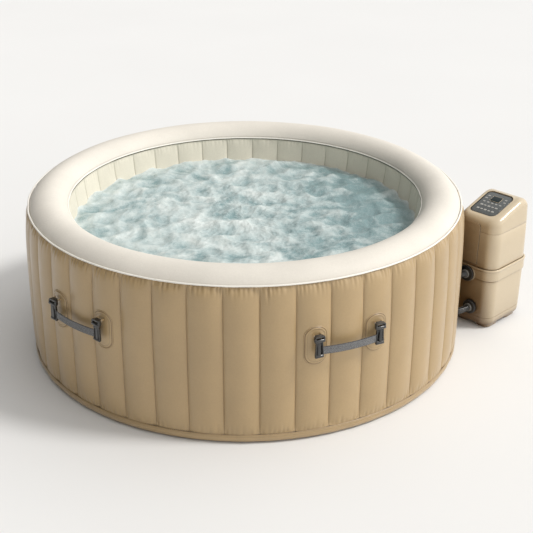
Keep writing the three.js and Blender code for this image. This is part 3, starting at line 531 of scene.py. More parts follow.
def turned(name, line, look, place, columns=72, grip=(), closed=True, capped=False):
    """A crisp-edged piece turned about Z from (radius, height) points, then put in its place.
    grip holds the number of lobes round it, their depth and which of the points have them."""
    piece = lofted(name, around(line, columns, *grip), look, closed=closed, first_cap=capped, last_cap=capped)
    sharpen(piece, 50)
    return moved(piece, place)


def joined(name, *pieces):
    """One object of several, with their materials kept."""
    first = pieces[0]
    with bpy.context.temp_override(active_object=first, selected_editable_objects=list(pieces)):
        bpy.ops.object.join()
    first.name = name
    return first


def settle(piece, body, slot, *nodes):
    """Hangs a finished piece on the body it rides on and hides the CAD nodes it stands for. The slot is not
    used.
    """
    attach(piece, body)
    if nodes:
        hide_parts(*nodes)


def rounded_outline(length, width, radius, centre=(0.0, 0.0), corner_steps=8, side_steps=1):
    """A rounded rectangle, anticlockwise from the far end of its +X side.
    It has the same number of points at any size."""
    x, y = length / 2 - radius, width / 2 - radius
    corners = np.array([(x, y), (-x, y), (-x, -y), (x, -y)])
    points = []
    for number, (corner, following) in enumerate(zip(corners, np.roll(corners, -1, axis=0))):
        for step in range(corner_steps + 1):
            angle = (number + step / corner_steps) * math.pi / 2
            offset = radius * np.array([math.cos(angle), math.sin(angle)])
            points.append(corner + offset)
        for step in range(1, side_steps):
            points.append(corner + (following - corner) * step / side_steps + offset)
    return np.array(points) + np.array(centre)


# ---------- inflated walls ----------


def ripple(angles, heights, strength, waves=14, finest=26):
    """Broad, seamless unevenness over a wall: a sum of slow waves round it and up it."""
    total = np.zeros(np.broadcast(angles, heights).shape)
    for _ in range(waves):
        turns = random.integers(2, finest)
        rise = random.uniform(2, 14)
        total += np.cos(turns * angles + rise * heights + random.uniform(0, 2 * math.pi)) / waves**0.5
    return strength * total


def fading(distance, length):
    """1 at an edge, and less the further from it."""
    return np.exp(-distance / length)


def hump(offset, width):
    """1 in the middle, falling to 0 on both sides."""
    return np.exp(-((offset / width) ** 2))


def panel_place(angles, quilt):
    """How far across its panel a direction is, from 0 at one seam to 1 at the next."""
    return ((angles - quilt["seam"]) * quilt["panels"] / (2 * math.pi)) % 1.0


def fullness(place):
    """How far a panel stands out across its width: round, and steeper close to its seams."""
    out = np.abs(2 * place - 1)
    return 1 - 0.8 * out**2 - 0.2 * out**12


def panel_angles(quilt, per_panel, bunch=0.4):
    """Directions round the wall, closer together near each seam."""
    steps = np.arange(per_panel) / per_panel
    steps = steps - bunch * np.sin(2 * math.pi * steps) / (2 * math.pi)
    places = (np.arange(quilt["panels"])[:, None] + steps).reshape(-1)
    return quilt["seam"] + places * 2 * math.pi / quilt["panels"]


def gathers(angles, distance, quilt, per_panel, depth, length, width):
    """Puckers that run away from a sewn edge: narrow creases of uneven depth, length and spacing.
    distance is how far each row is from the edge."""
    count = quilt["panels"] * per_panel
    places = np.arange(count) + 0.5 + random.uniform(-0.27, 0.27, count)
    places = quilt["seam"] + places * 2 * math.pi / count
    depths = depth * random.uniform(0.35, 1.0, count)
    lengths = length * random.uniform(0.55, 1.25, count)
    widths = width * random.uniform(0.7, 1.3, count)
    apart = (angles[:, None] - places + math.pi) % (2 * math.pi) - math.pi
    distance = distance[:, None]
    down = hump(distance, lengths) * (1 - fading(distance, 0.004))
    return down @ (hump(apart, widths) * depths).T


def wall_surface(angles, heights):
    """The quilted wall's radius without its puckers, for directions and heights that broadcast together."""
    line = smooth_line(WALL_LINE, 200)
    radius = np.interp(heights, line[:, 1], line[:, 0])
    ends = 1 - fading(np.clip(line[-1, 1] - heights, 0, 1), 0.022)
    ends = ends * (1 - 0.8 * fading(np.clip(heights - line[0, 1], 0, 1), 0.018))
    return radius - WALL_CROWN * (1 - fullness(panel_place(angles, WALL_QUILT))) * ends


def seam_groove(angles, quilt, radius, width):
    """1 on each vertical seam, falling to 0 within its width."""
    place = panel_place(angles, quilt)
    return hump(np.minimum(place, 1 - place) * 2 * math.pi * radius / quilt["panels"], width)


def round_points(angles, radii, heights):
    heights = np.broadcast_to(heights, radii.shape)
    return np.stack([radii * np.cos(angles), radii * np.sin(angles), heights], -1)


def add_wall():
    angles = panel_angles(WALL_QUILT, 48)
    line = smooth_line(WALL_LINE, 84, ends=0.72)
    heights = line[:, 1:]
    from_top = line[-1, 1] - line[:, 1]
    from_base = line[:, 1] - line[0, 1]
    groove = seam_groove(angles, WALL_QUILT, WALL_RADIUS, 0.0014)
    top = gathers(angles, from_top, WALL_QUILT, **WALL_TOP_GATHERS)
    base = gathers(angles, from_base, WALL_QUILT, **WALL_BASE_GATHERS)
    slack = ripple(angles, heights, 0.0007)
    radii = wall_surface(angles, heights) - SEAM_DEPTH * groove - top - base + slack
    seams = 0.45 * groove * (1 - fading(from_top, 0.02))[:, None]
    edges = 0.9 * fading(from_top, 0.0016) + 0.5 * fading(from_base, 0.0018)
    # Painted shade: darker along the seams, in the puckers, under the piping and at the base seam.
    crease = np.clip(seams + 10 * top + 12 * base + edges[:, None], 0, 1)
    wall = lofted("wall_quilt", round_points(angles, radii, heights), "tan_vinyl", crease=crease)
    settle(wall, ROOT, "tan_vinyl", "outer_wall")


def add_liner():
    angles = panel_angles(LINER_QUILT, 36)
    fine = smooth_line(LINER_LINE, 400)
    line = np.vstack([fine[:100:3], fine[100::10]])
    heights = line[:, 1:]
    from_top = line[0, 1] - line[:, 1]
    ends = (1 - fading(from_top, 0.016))[:, None]
    hollow = 1 - fullness(panel_place(angles, LINER_QUILT))
    groove = seam_groove(angles, LINER_QUILT, LINER_RADIUS, 0.0018)
    top = gathers(angles, from_top, LINER_QUILT, **LINER_GATHERS)
    slack = ripple(angles, heights, 0.0006)
    radii = line[:, :1] + LINER_CROWN * hollow * ends + SEAM_DEPTH * groove + top + slack
    # Painted shade: darker along the seams, in the puckers and at its top edge.
    crease = np.clip(0.6 * groove * ends + 25 * top + 0.7 * fading(from_top, 0.0025)[:, None], 0, 1)
    liner = lofted("liner_quilt", round_points(angles, radii, heights), "liner_vinyl", crease=crease)
    settle(liner, ROOT, "liner_vinyl", "inner_liner")


def arc_points(start, end, sagitta, steps):
    """Points on an arc from start to end that bulges upwards."""
    start, end = np.array(start), np.array(end)
    half = np.linalg.norm(end - start) / 2
    radius = (half**2 + sagitta**2) / (2 * sagitta)
    along = (end - start) / (2 * half)
    up = np.array([-along[1], along[0]])
    centre = (start + end) / 2 + up * (sagitta - radius)
    sweep = math.asin(half / radius)
    turns = np.linspace(-sweep, sweep, steps)[:, None]
    return centre + radius * (np.sin(turns) * along + np.cos(turns) * up)


def add_ring():
    """The inflated rim: a crowned closed tube with a welded line just inside its mouth seam."""
    angles = full_turn(512)
    crown = arc_points(RING_MOUTH, RING_RIM, RING_CROWN, 120)
    under = arc_points(RING_MOUTH, RING_RIM, 0.012, 14)[1:-1]
    along = np.linspace(0, 1, len(crown))
    weld = hump(along - 0.04, 0.008)
    away = crown - ((RING_MOUTH[0] + RING_RIM[0]) / 2, RING_MOUTH[1])
    away /= np.linalg.norm(away, axis=1)[:, None]
    crown = crown - away * (0.0014 * weld)[:, None]
    profile = np.vstack([crown[::-1], under])
    slack = ripple(angles, np.linspace(0, 0.3, len(profile))[:, None], 0.0008, finest=18)
    lift = np.concatenate([np.sin(along * math.pi)[::-1], np.zeros(len(under))])[:, None]
    heights = profile[:, 1:] + slack * lift
    # Painted shade: darker close to both seams, along the weld and all over the underside.
    near_ends = fading(along, 0.008) + fading(1 - along, 0.006) + 0.55 * weld
    crease = np.concatenate([near_ends[::-1], np.ones(len(under))]).clip(0, 1)[:, None]
    points = round_points(angles, np.broadcast_to(profile[:, :1], heights.shape), heights)
    ring = lofted("rim_cushion", points, "cream_vinyl", closed=True, crease=crease)
    settle(ring, ROOT, "cream_vinyl", "top_ring")


def add_bead(name, radius, height, thickness, *nodes):
    """A welt that runs all round the tub, not quite even."""
    angles = full_turn(512)
    turns = full_turn(14)[:, None]
    radii = radius + ripple(angles, 0.0, 0.0005, finest=60) + thickness * np.cos(turns)
    points = round_points(angles, radii, height + thickness * np.sin(turns))
    bead = lofted(name, points, "white_vinyl", closed=True)
    settle(bead, ROOT, "white_vinyl", *nodes)


def add_base_band():
    """The rounded foot of the wall, with two rows of weld below its seam."""
    angles = full_turn(WALL_QUILT["panels"] * 24)
    line = np.array(BASE_LINE)[::-1]
    fine = np.repeat(line, 2, axis=0)[:-1]
    fine[1::2] = (line[:-1] + line[1:]) / 2
    heights = fine[:, 1]
    down = BASE_SEAM - heights
    bulge = hump(heights - 0.021, 0.012)[:, None]
    radii = fine[:, :1] + bulge * ripple(angles, 0.0, 0.001, finest=70)
    puckers = gathers(angles, down, WALL_QUILT, **BAND_GATHERS)
    # Painted shade: darker along the welds, in the puckers, under the base seam and where the band meets the
    # ground.
    welds = sum(hump(heights - weld, 0.001) for weld in BASE_WELDS)
    edges = 0.5 * welds + 0.6 * fading(down, 0.0015) + fading(heights, 0.004)
    crease = np.clip(edges[:, None] + 25 * puckers, 0, 1)
    points = round_points(angles, radii - puckers, heights[:, None])
    band = lofted("base_welt", points, "tan_vinyl", crease=crease)
    settle(band, ROOT, "tan_vinyl", "base_band")


def choppy(x, y):
    """Bent, sharp-crested waves that run every way over a surface, from swells to ripples."""
    total = np.zeros_like(x)
    for wavelength, height, count in WATER_WAVES:
        for _ in range(count):
            heading = random.uniform(0, 2 * math.pi)
            length = wavelength * random.uniform(0.7, 1.4)
            phase = random.uniform(0, 2 * math.pi)
            forward = x * math.cos(heading) + y * math.sin(heading)
            sideways = x * math.sin(heading) - y * math.cos(heading)
            bend = 0.8 * np.sin(2 * math.pi * sideways / (2.3 * length) + phase)
            crest = 1 - np.abs(np.cos(2 * math.pi * forward / length + phase + bend))
            total += height * (2 * crest - 1) / count**0.5
    return total - total.mean()


def add_water():
    """A choppy, aerated surface that reaches into the liner's quilting all round."""
    radii = np.linspace(WATER_RADIUS, 0.004, 150)[:, None]
    angles = full_turn(560)
    x = radii * np.cos(angles)
    y = radii * np.sin(angles)
    chop = choppy(x, y)
    # Painted shade: the water turns darker and tealer towards the +X side, under the wall there.
    painted_shade_side = np.clip((x - 0.1) / 0.55, 0, 1)
    froth_and_shade = np.clip((chop + 0.01) / 0.024, 0, 1) - 0.9 * painted_shade_side
    foam_edge = 0.8 * fading(WATER_RADIUS - radii, 0.016)
    points = np.stack([x, y, WATER_LEVEL + chop], -1)
    water = lofted("water_surface", points, "churned_water", last_cap=True, crease=foam_edge)
    set_values(water.data, "froth_and_shade", froth_and_shade)
    settle(water, ROOT, "display_glass")


# ---------- handles ----------


def handle_frame(degrees):
    """Where a handle is made: +X along the wall, +Y out of it, from the wall's face at floor height."""
    turn = math.radians(degrees)
    place = (WALL_RADIUS * math.cos(turn), WALL_RADIUS * math.sin(turn), 0)
    return Matrix.Translation(place) @ Matrix.Rotation(turn - math.pi / 2, 4, "Z")


# The lines of a pad's borders: how far in from its outline, how far off the wall, and how much shade is
# painted into its crease.
PAD_BORDER = [
    (0.0, 0.0, 0.6), (0.0008, 0.0018, 0.2), (0.0022, 0.0026, 0), (0.0038, 0.0022, 0), (0.0048, 0.0008, 0.9),
    (0.0056, 0.0006, 1), (0.0064, 0.0026, 0.5), (0.0076, 0.0037, 0), (0.0095, 0.0041, 0), (0.0115, 0.0039, 0),
    (0.0135, 0.0032, 0.1), (0.0145, 0.0026, 0.5), (0.0157, 0.0028, 0.1), (0.018, 0.003, 0),
    (0.025, 0.0029, 0), (0.034, 0.0029, 0), (0.041, 0.003, 0), (0.047, 0.003, 0),
]
PAD_STEPS = {"corner_steps": 14, "side_steps": 14}


def patch_pad(name, degrees):
    """A welded pad that follows the quilted wall, with two raised borders."""
    middle = math.radians(degrees)
    rings = []
    for depth, rise, _ in PAD_BORDER:
        width, height = PATCH["width"] - 2 * depth, PATCH["height"] - 2 * depth
        ring = rounded_outline(width, height, max(PATCH["corner"] - depth, 0.002), **PAD_STEPS)
        angles = middle - ring[:, 0] / WALL_RADIUS
        heights = PATCH["centre"] + ring[:, 1]
        rings.append(round_points(angles, wall_surface(angles, heights) + rise, heights))
    # Painted shade in the grooves of the borders and along the outline.
    crease = np.array([dark for *_, dark in PAD_BORDER])[:, None]
    return lofted(name, rings, "tan_vinyl", last_cap=True, crease=crease)


def lug(side):
    """One of the two lugs that hold a buckle's pin, in the hinge's frame."""
    reach, rounding = LUG["reach"], LUG["rounding"]
    turns = np.linspace(-math.pi / 2, math.pi / 2, 12)
    nose = [(rounding * math.cos(turn), rounding * math.sin(turn)) for turn in turns]
    outline = [(-reach, -rounding), *nose, (-reach, rounding)]
    piece = plate("lug", [outline], LUG["thickness"], 0.0006, "tan_vinyl")
    stand = Matrix.Rotation(math.pi / 2, 4, "Z") @ Matrix.Rotation(math.pi / 2, 4, "X")
    return moved(piece, Matrix.Translation((side * LUG["offset"], 0, 0)) @ stand)


def upright(name, outlines, thickness, bevel, out, look="dark_plastic"):
    """A plate that stands in a hinge's frame, its middle at a distance out from the hinge."""
    piece = plate(name, outlines, thickness, bevel, look)
    return moved(piece, Matrix.Translation((0, out, 0)) @ Matrix.Rotation(math.pi / 2, 4, "X"))


def crossways(name, radius, length, end_bevel, look="dark_plastic", place=(0, 0, 0), sides=24):
    """A round bar across a buckle, with softened ends."""
    half = length / 2
    line = [(0.0005, -half), (radius - end_bevel, -half)]
    line += [(radius - end_bevel * 0.3, -half + end_bevel * 0.3), (radius, -half + end_bevel)]
    line += [(across, -along) for across, along in line[::-1]]
    bar = lofted(name, around(line, sides), look, first_cap=True, last_cap=True)
    return moved(bar, Matrix.Translation(place) @ Matrix.Rotation(math.pi / 2, 4, "Y"))


def mirrored(line):
    """The right-hand half of an outline, and its mirror image."""
    return line + [(-x, y) for x, y in line[::-1]]


def buckle(name, side):
    """A moulded strap adjuster: a rounded head with a slot, two rails and an inner tongue."""
    head, foot, bottom = BUCKLE_HEAD / 2, BUCKLE_FOOT / 2, -BUCKLE_DROP
    block = rounded_outline(BUCKLE_HEAD, 0.025, 0.007, (0, -0.008))
    slot = rounded_outline(0.031, 0.009, 0.0035, (0, -0.0035))
    back = rounded_outline(0.029, 0.062, 0.004, (0, -0.052))
    rail_line = [(head - 0.007, -0.014), (head - 0.0085, -0.035)]
    rail_line = mirrored([*rail_line, (foot, bottom + 0.012), (foot - 0.004, bottom)])
    window = [(-0.0105, -0.024), (-0.0125, bottom + 0.015), (0.0125, bottom + 0.015), (0.0105, -0.024)]
    tongue_line = mirrored([(0.0055, -0.018), (0.008, bottom + 0.02), (0.006, bottom + 0.01)])
    tongue_line = [(x + side * 0.0028, y) for x, y in tongue_line]
    pieces = [
        upright("head", [block, slot], 0.016, 0.0045, 0.013),
        crossways("roll", 0.0078, BUCKLE_HEAD, 0.004, place=(0, 0.015, -0.015)),
        upright("rails", [rail_line, window], 0.011, 0.0035, 0.012),
        upright("tongue", [tongue_line], 0.009, 0.0035, 0.0145),
        # The back, in blacker plastic than the frame, fills the window between the rails: painted shade
        # inside the frame.
        upright("back", [back], 0.003, 0.001, 0.0085, "black_plastic"),
        crossways("foot", 0.007, BUCKLE_FOOT - 0.001, 0.0035, place=(0, 0.0135, bottom + 0.007)),
        crossways("barrel", 0.0042, 0.026, 0.0008),
        upright("web", [rounded_outline(0.026, 0.01, 0.002)], 0.009, 0.001, 0.0045),
        crossways("pin", 0.0022, 0.038, 0.0006, "steel", sides=16),
    ]
    return joined(name, *pieces)


def strap(name, reach):
    """Flat webbing between the buckles, bowed out from the wall, with thicker woven edges."""
    thickness, height, bottom = STRAP["thickness"], STRAP["height"], STRAP["bottom"]
    half = reach - BUCKLE_HEAD / 2 + 0.01
    middle = STRAP["start"] + thickness / 2
    line = arc_points((-half, middle), (half, middle), STRAP["bow"], 72)
    tangents = tangents_of(line)
    outward = np.stack([-tangents[:, 1], tangents[:, 0]], -1)
    heights = height * np.linspace(0, 1, 20)
    edge = np.minimum(heights, height - heights)
    rounding = np.sqrt(np.clip(edge / 0.0018, 0.05, 1))
    halves = thickness / 2 * rounding * (1 + 0.25 * hump(edge - 0.0025, 0.0012))
    section = [*zip(heights, halves), *zip(heights[::-1], -halves[::-1])]
    rings = [[(*(point + out * t), bottom + h) for h, t in section] for point, out in zip(line, outward)]
    crease = 0.9 * fading(np.concatenate([edge, edge[::-1]]), 0.0014)
    made = lofted(name, rings, "grey_webbing", first_cap=True, last_cap=True, crease=crease)
    lengths = lengths_along(line)
    layer = made.data.uv_layers.new(name="UVMap")
    for loop in made.data.loops:
        row, column = divmod(loop.vertex_index, len(section))
        layer.data[loop.index].uv = (lengths[row], section[column][0])
    return made


def add_handles():
    reach = WALL_RADIUS * math.sin(HANDLE_SPREAD)
    for where, degrees in HANDLES.items():
        frame_matrix = handle_frame(degrees)
        body = f"{where}_handle"
        for letter, side in (("a", -1), ("b", 1)):
            hinge = frame_matrix @ Matrix.Translation((side * reach, *HINGE))
            pad = patch_pad("pad", degrees - math.degrees(HANDLE_SPREAD) * side)
            lugs = [moved(lug(end), hinge) for end in (-1, 1)]
            pad = joined(f"{where}_pad_{letter}", pad, *lugs)
            settle(pad, ROOT, "tan_vinyl", f"{where}_patch_{letter}")
            clip = moved(buckle(f"{where}_clip_{letter}", side), hinge)
            settle(clip, body, "dark_plastic", f"{where}_buckle_{letter}")
        web = moved(strap(f"{where}_webbing", reach), frame_matrix)
        settle(web, body, "grey_webbing", f"{where}_strap")


# ---------- control unit ----------

UNIT_STEPS = {"corner_steps": 16, "side_steps": 14}


def unit_ring(grow, height):
    """The unit's outline, grown by an amount, at a height or at heights given for each point."""
    centre = (UNIT_LENGTH / 2, UNIT_WIDTH / 2)
    size = (UNIT_LENGTH + 2 * grow, UNIT_WIDTH + 2 * grow)
    outline = rounded_outline(*size, UNIT_CORNER + grow, centre, **UNIT_STEPS)
    return np.column_stack([outline, np.broadcast_to(height, len(outline))])


def top_height(along):
    """The sloping top's height, falling away at the back."""
    fall = np.clip((along - TOP_CREST) / (UNIT_LENGTH + 0.004 - TOP_CREST), 0, 0.97)
    return TOP_AT_FRONT + TOP_SLOPE * along - TOP_DROP * (1 - np.sqrt(1 - fall**2))


# The lower shell's side view: height, and how far it stands out past the unit's outline.
LOWER_ROWS = [
    (0.0125, -0.04), (0.0128, -0.028), (0.015, -0.0185), (0.0195, -0.0115), (0.0265, -0.0072),
    (0.037, -0.0048), (0.048, -0.004), (0.055, -0.0038), (0.0556, -0.0052), (0.0566, -0.0052),
    (0.0572, -0.0036), (0.075, -0.003), (0.15, -0.0015), (0.22, -0.0005), (0.2462, -0.0004),
    (0.2472, -0.0045), (0.2494, -0.0045), (0.25, 0.004), (0.2512, 0.0054), (0.254, 0.006),
    (0.27, 0.0062), (0.29, 0.006), (0.2965, 0.0062), (0.2985, 0.0074), (0.3005, 0.0088),
    (0.3035, 0.0094), (0.3065, 0.0084), (0.3082, 0.006), (0.3084, 0.001), (0.307, -0.001),
    (0.307, -0.012),
]
FOOT_PADS = {"length": 0.098, "width": 0.078, "corner": 0.03}
FOOT_PADS |= {"along": (0.074, 0.214), "across": (0.058, 0.164)}


def foot_pad(along, across):
    rings = []
    for height, shrink in ((0.0002, 0.004), (0.0012, 0.0015), (0.003, 0.0), (0.02, -0.001)):
        length, width = FOOT_PADS["length"] - 2 * shrink, FOOT_PADS["width"] - 2 * shrink
        ring = rounded_outline(length, width, FOOT_PADS["corner"] - shrink, (along, across), 8, 3)
        rings.append(np.column_stack([ring, np.full(len(ring), height)]))
    return lofted("foot", rings, "tan_plastic", first_cap=True, last_cap=True)


def add_lower_shell():
    rings = [unit_ring(grow, height) for height, grow in LOWER_ROWS]
    shell = lofted("lower_shell", rings, "tan_plastic", first_cap=True)
    feet = [foot_pad(along, across) for along in FOOT_PADS["along"] for across in FOOT_PADS["across"]]
    boss_line = [(0.001, -0.004), (0.0405, -0.004), (0.0425, 0.002), (0.0428, 0.0065), (0.0418, 0.0078)]
    boss_line += [(0.039, 0.0082), (0.001, 0.0082)]
    boss = lofted("boss", around(boss_line, 72), "tan_plastic", first_cap=True, last_cap=True)
    moved(boss, out_of_face(RETURN))
    shell = joined("lower_shell", shell, boss, *feet)
    sharpen(shell, 55)
    settle(moved(shell, UNIT), ROOT, "tan_plastic", "lower_housing")


def add_upper_shell():
    top = COVER_SPLIT - 0.0002
    rows = [(0.3086, -0.012), (0.3086, -0.0014), (0.309, -0.0006), (0.311, 0), (0.36, -0.0002)]
    rows += [(0.42, -0.0008), (top - 0.0004, -0.0014), (top, -0.0018), (top, -0.012)]
    shell = lofted("upper_shell", [unit_ring(grow, height) for height, grow in rows], "tan_plastic")
    sharpen(shell, 55)
    settle(moved(shell, UNIT), ROOT, "tan_plastic", "upper_housing")


def panel_ring(grow):
    """The panel's outline on the sloping top, in the unit's frame, with as many points as the unit's."""
    size = (PANEL["length"] + 2 * grow, PANEL["width"] + 2 * grow)
    shape = rounded_outline(*size, PANEL["corner"] + grow, **UNIT_STEPS)
    slope = math.atan(TOP_SLOPE)
    along = PANEL["along"] + shape[:, 0] * math.cos(slope)
    height = TOP_AT_FRONT + TOP_SLOPE * PANEL["along"] + shape[:, 0] * math.sin(slope)
    return np.column_stack([along, PANEL["across"] + shape[:, 1], height])


# The step down from the sloping top to the panel: how far outside it, and how deep.
RECESS_LINE = [(0.003, -0.0006), (0.0016, 0.0002), (0.0008, 0.0016), (0.0005, 0.004), (0.0004, 0.0064)]


def add_cover():
    """The top cover: a rounded sloping lid with the panel's recess let into it."""
    foot = COVER_SPLIT + 0.0003
    start = COVER_SPLIT + 0.0007
    rings = [unit_ring(-0.012, foot), unit_ring(-0.0019, foot), unit_ring(-0.0015, start)]
    for share in (0.15, 0.4, 0.7, 1.0):
        ring = unit_ring(-0.0016 - (COVER_INSET - 0.0016) * share, 0)
        edge = top_height(ring[:, 0]) - TOP_ROUNDING
        ring[:, 2] = start + share * (edge - start)
        rings.append(ring)
    for turn in np.linspace(0, math.pi / 2, 13)[1:]:
        ring = unit_ring(-COVER_INSET - TOP_ROUNDING * (1 - math.cos(turn)), 0)
        ring[:, 2] = top_height(ring[:, 0]) - TOP_ROUNDING * (1 - math.sin(turn))
        rings.append(ring)
    shoulder = rings[-1]
    rim = panel_ring(0.0045)
    for share in (0.25, 0.5, 0.75, 1.0):
        ring = shoulder + (rim - shoulder) * share
        ring[:, 2] = top_height(ring[:, 0])
        rings.append(ring)
    slope = math.atan(TOP_SLOPE)
    normal = np.array([-math.sin(slope), 0, math.cos(slope)])
    rings += [panel_ring(grow) - normal * sink for grow, sink in RECESS_LINE]
    cover = lofted("cover", rings, "tan_plastic", last_cap=True)
    sharpen(cover, 55)
    settle(moved(cover, UNIT), ROOT, "tan_plastic", "top_cover")


def pill(name, length, width, height, bevel):
    outline = rounded_outline(width, length, width / 2 - 0.0002)
    return plate(name, [outline], height, bevel, "button_plastic")


# Each key's place along and across the panel.
BUTTONS = {
    "button_power": (-0.052, -0.04), "button_heater": (-0.052, 0.0), "button_filter": (-0.052, 0.04),
    "button_bubbles": (-0.022, -0.04), "button_down": (-0.022, 0.0), "button_up": (-0.022, 0.04),
}


def on_panel(along, across, height):
    return PANEL_FRAME @ Matrix.Translation((along, across, height))


def panel_plate(name, look, inset, thickness, bevel, height):
    """A sheet with the panel's outline, smaller by the inset on every side."""
    length, width = PANEL["length"] - 2 * inset, PANEL["width"] - 2 * inset
    outline = rounded_outline(length, width, PANEL["corner"] - inset, corner_steps=14)
    return moved(plate(name, [outline], thickness, bevel, look), on_panel(0, 0, height))


KEY_SIZE = {"length": 0.015, "width": 0.01, "height": 0.0027, "bevel": 0.001}
LAMP_SIZE = {"length": 0.013, "width": 0.0075, "height": 0.0012, "bevel": 0.0005}
# How far along the panel each row of lamps is, and the places of its lamps across it.
LAMP_ROWS = {
    -0.052: (-0.02, 0.02),
    -0.022: (-0.02, 0.02),
    0.004: (-0.044, -0.022, 0, 0.022, 0.044),
    0.03: (-0.05, 0.05),
    0.05: (-0.046, 0.046),
}
DISPLAY = {"length": 0.038, "width": 0.05, "along": 0.038}
LABEL_BAR = {"length": 0.003, "width": 0.03, "along": 0.015}


def add_panel():
    """The recessed membrane with its display, six keys and rows of indicator lamps."""
    surface = -PANEL["recess"] + 0.0034
    rim = panel_plate("membrane", "black_plastic", 0.0005, 0.003, 0.0008, surface - 0.0017)
    sheet = panel_plate("sheet", "panel_plastic", 0.006, 0.0012, 0.0005, surface - 0.0004)
    settle(joined("membrane", rim, sheet), ROOT, "panel_plastic", "control_panel")
    window = rounded_outline(DISPLAY["length"], DISPLAY["width"], 0.002)
    lcd = plate("lcd_window", [window], 0.0014, 0.0004, "display_glass")
    settle(moved(lcd, on_panel(DISPLAY["along"], 0, surface + 0.0009)), ROOT, "display_glass", "display")
    outside = rounded_outline(DISPLAY["length"] + 0.0035, DISPLAY["width"] + 0.0035, 0.003)
    inside = rounded_outline(DISPLAY["length"] + 0.0005, DISPLAY["width"] + 0.0005, 0.002)
    bezel = plate("lcd_bezel", [outside, inside], 0.0012, 0.0004, "tan_plastic")
    moved(bezel, on_panel(DISPLAY["along"], 0, surface + 0.0006))
    bar_line = rounded_outline(LABEL_BAR["length"], LABEL_BAR["width"], 0.0012)
    label_bar = plate("label_bar", [bar_line], 0.001, 0.0004, "display_glass")
    moved(label_bar, on_panel(LABEL_BAR["along"], 0, surface + 0.0005))
    settle(joined("lcd_bezel", bezel, label_bar), ROOT, "tan_plastic")
    for name, (along, across) in BUTTONS.items():
        key = moved(pill(f"{name}_key", **KEY_SIZE), on_panel(along, across, surface - 0.00005))
        settle(key, name, "button_plastic", name)
    lamps = []
    for along, places in LAMP_ROWS.items():
        for across in places:
            lamps.append(moved(pill("lamp", **LAMP_SIZE), on_panel(along, across, surface + 0.0004)))
    settle(joined("indicator_lamps", *lamps), ROOT, "button_plastic")


def unit_face(across, height, out):
    """A point on the face with the pipes, at a distance round it from the unit's near corner."""
    straight = min(max(across, UNIT_CORNER), UNIT_WIDTH - UNIT_CORNER)
    turn = (across - straight) / UNIT_CORNER
    reach = UNIT_CORNER + out
    return (UNIT_CORNER - reach * math.cos(turn), straight + reach * math.sin(turn), height)


def side_inset(height):
    """How far the unit's sides have drawn in at a height above its belt."""
    turn = math.asin(np.clip((height - TOP_AT_FRONT) / TOP_ROUNDING + 1, 0, 1))
    stops = [0.36, 0.42, COVER_SPLIT, TOP_AT_FRONT - TOP_ROUNDING]
    sides = np.interp(height, stops, [0.0002, 0.0008, 0.0016, COVER_INSET])
    return sides + TOP_ROUNDING * (1 - math.cos(turn))


# The door's edges on the unit's face, how far its near edge leans, and the rounding of its top.
DOOR = {"bottom": 0.318, "top": 0.524, "start": 0.082, "end": 0.205, "lean": 0.006, "corner": 0.02}
DOOR_ROUNDING = 0.024
DOOR_GAP = 0.0024


def door_plate(name, margin, proud, look):
    """A cover plate that follows the unit's face, a little larger than the door by the margin."""
    bottom, top = DOOR["bottom"] - margin, DOOR["top"] + margin
    shoulder = top - DOOR_ROUNDING * (1 - np.sin(np.linspace(0.12, math.pi / 2, 12)))
    heights = [bottom, *np.linspace(bottom + 0.001, top - DOOR_ROUNDING, 30), *shoulder, top]
    columns = 26
    rings = []
    for number, height in enumerate(heights):
        lean = DOOR["lean"] * (1 - (height - bottom) / (top - bottom))
        rise = min(max(0.0, (height - top) / DOOR_ROUNDING + 1), 1.0)
        start = DOOR["start"] + lean + DOOR["corner"] * (1 - math.sqrt(1 - rise**2)) - margin
        row = []
        for column, across in enumerate(np.linspace(start, DOOR["end"] + margin, columns)):
            border = number in (0, len(heights) - 1) or column in (0, columns - 1)
            row.append(unit_face(across, height, (-0.003 if border else proud) - side_inset(height)))
        rings.append(row)
    made = lofted(name, np.array(rings)[:, ::-1], look, ring=False)
    sharpen(made, 35)
    return moved(made, UNIT)


def add_door():
    door = door_plate("service_door", -DOOR_GAP / 2, 0.001, "tan_plastic")
    settle(door, ROOT, "tan_plastic", "service_panel")
    # A dark sheet a little larger than the door, set just under it: painted shadow in the gap round the door.
    gap = door_plate("service_door_gap", DOOR_GAP / 2, 0.0005, "seam_shadow")
    settle(gap, ROOT, "black_plastic")


GRILLE = {"width": 0.099, "height": 0.139, "across": 0.1, "middle": 0.4}


def add_grille():
    """The blower's intake: a plate with rounded louvres on the unit's back face."""
    outline = rounded_outline(GRILLE["width"], GRILLE["height"], 0.006)
    slots = [rounded_outline(0.07, 0.006, 0.0029, (0, y)) for y in np.arange(-0.056, 0.057, 0.014)]
    grille = plate("intake_louvres", [outline, *slots], 0.004, 0.001, "tan_plastic")
    screen_line = rounded_outline(GRILLE["width"] - 0.009, GRILLE["height"] - 0.009, 0.004)
    screen = plate("screen", [screen_line], 0.001, 0.0003, "black_plastic")
    grille = joined("intake_louvres", grille, moved(screen, Matrix.Translation((0, 0, -0.0035))))
    stand = Matrix.Rotation(math.pi / 2, 4, "Z") @ Matrix.Rotation(math.pi / 2, 4, "X")
    place = UNIT @ Matrix.Translation((UNIT_LENGTH - 0.0005, GRILLE["across"], GRILLE["middle"])) @ stand
    settle(moved(grille, place), ROOT, "tan_plastic", "intake_grille")


# ---------- fittings and hoses ----------

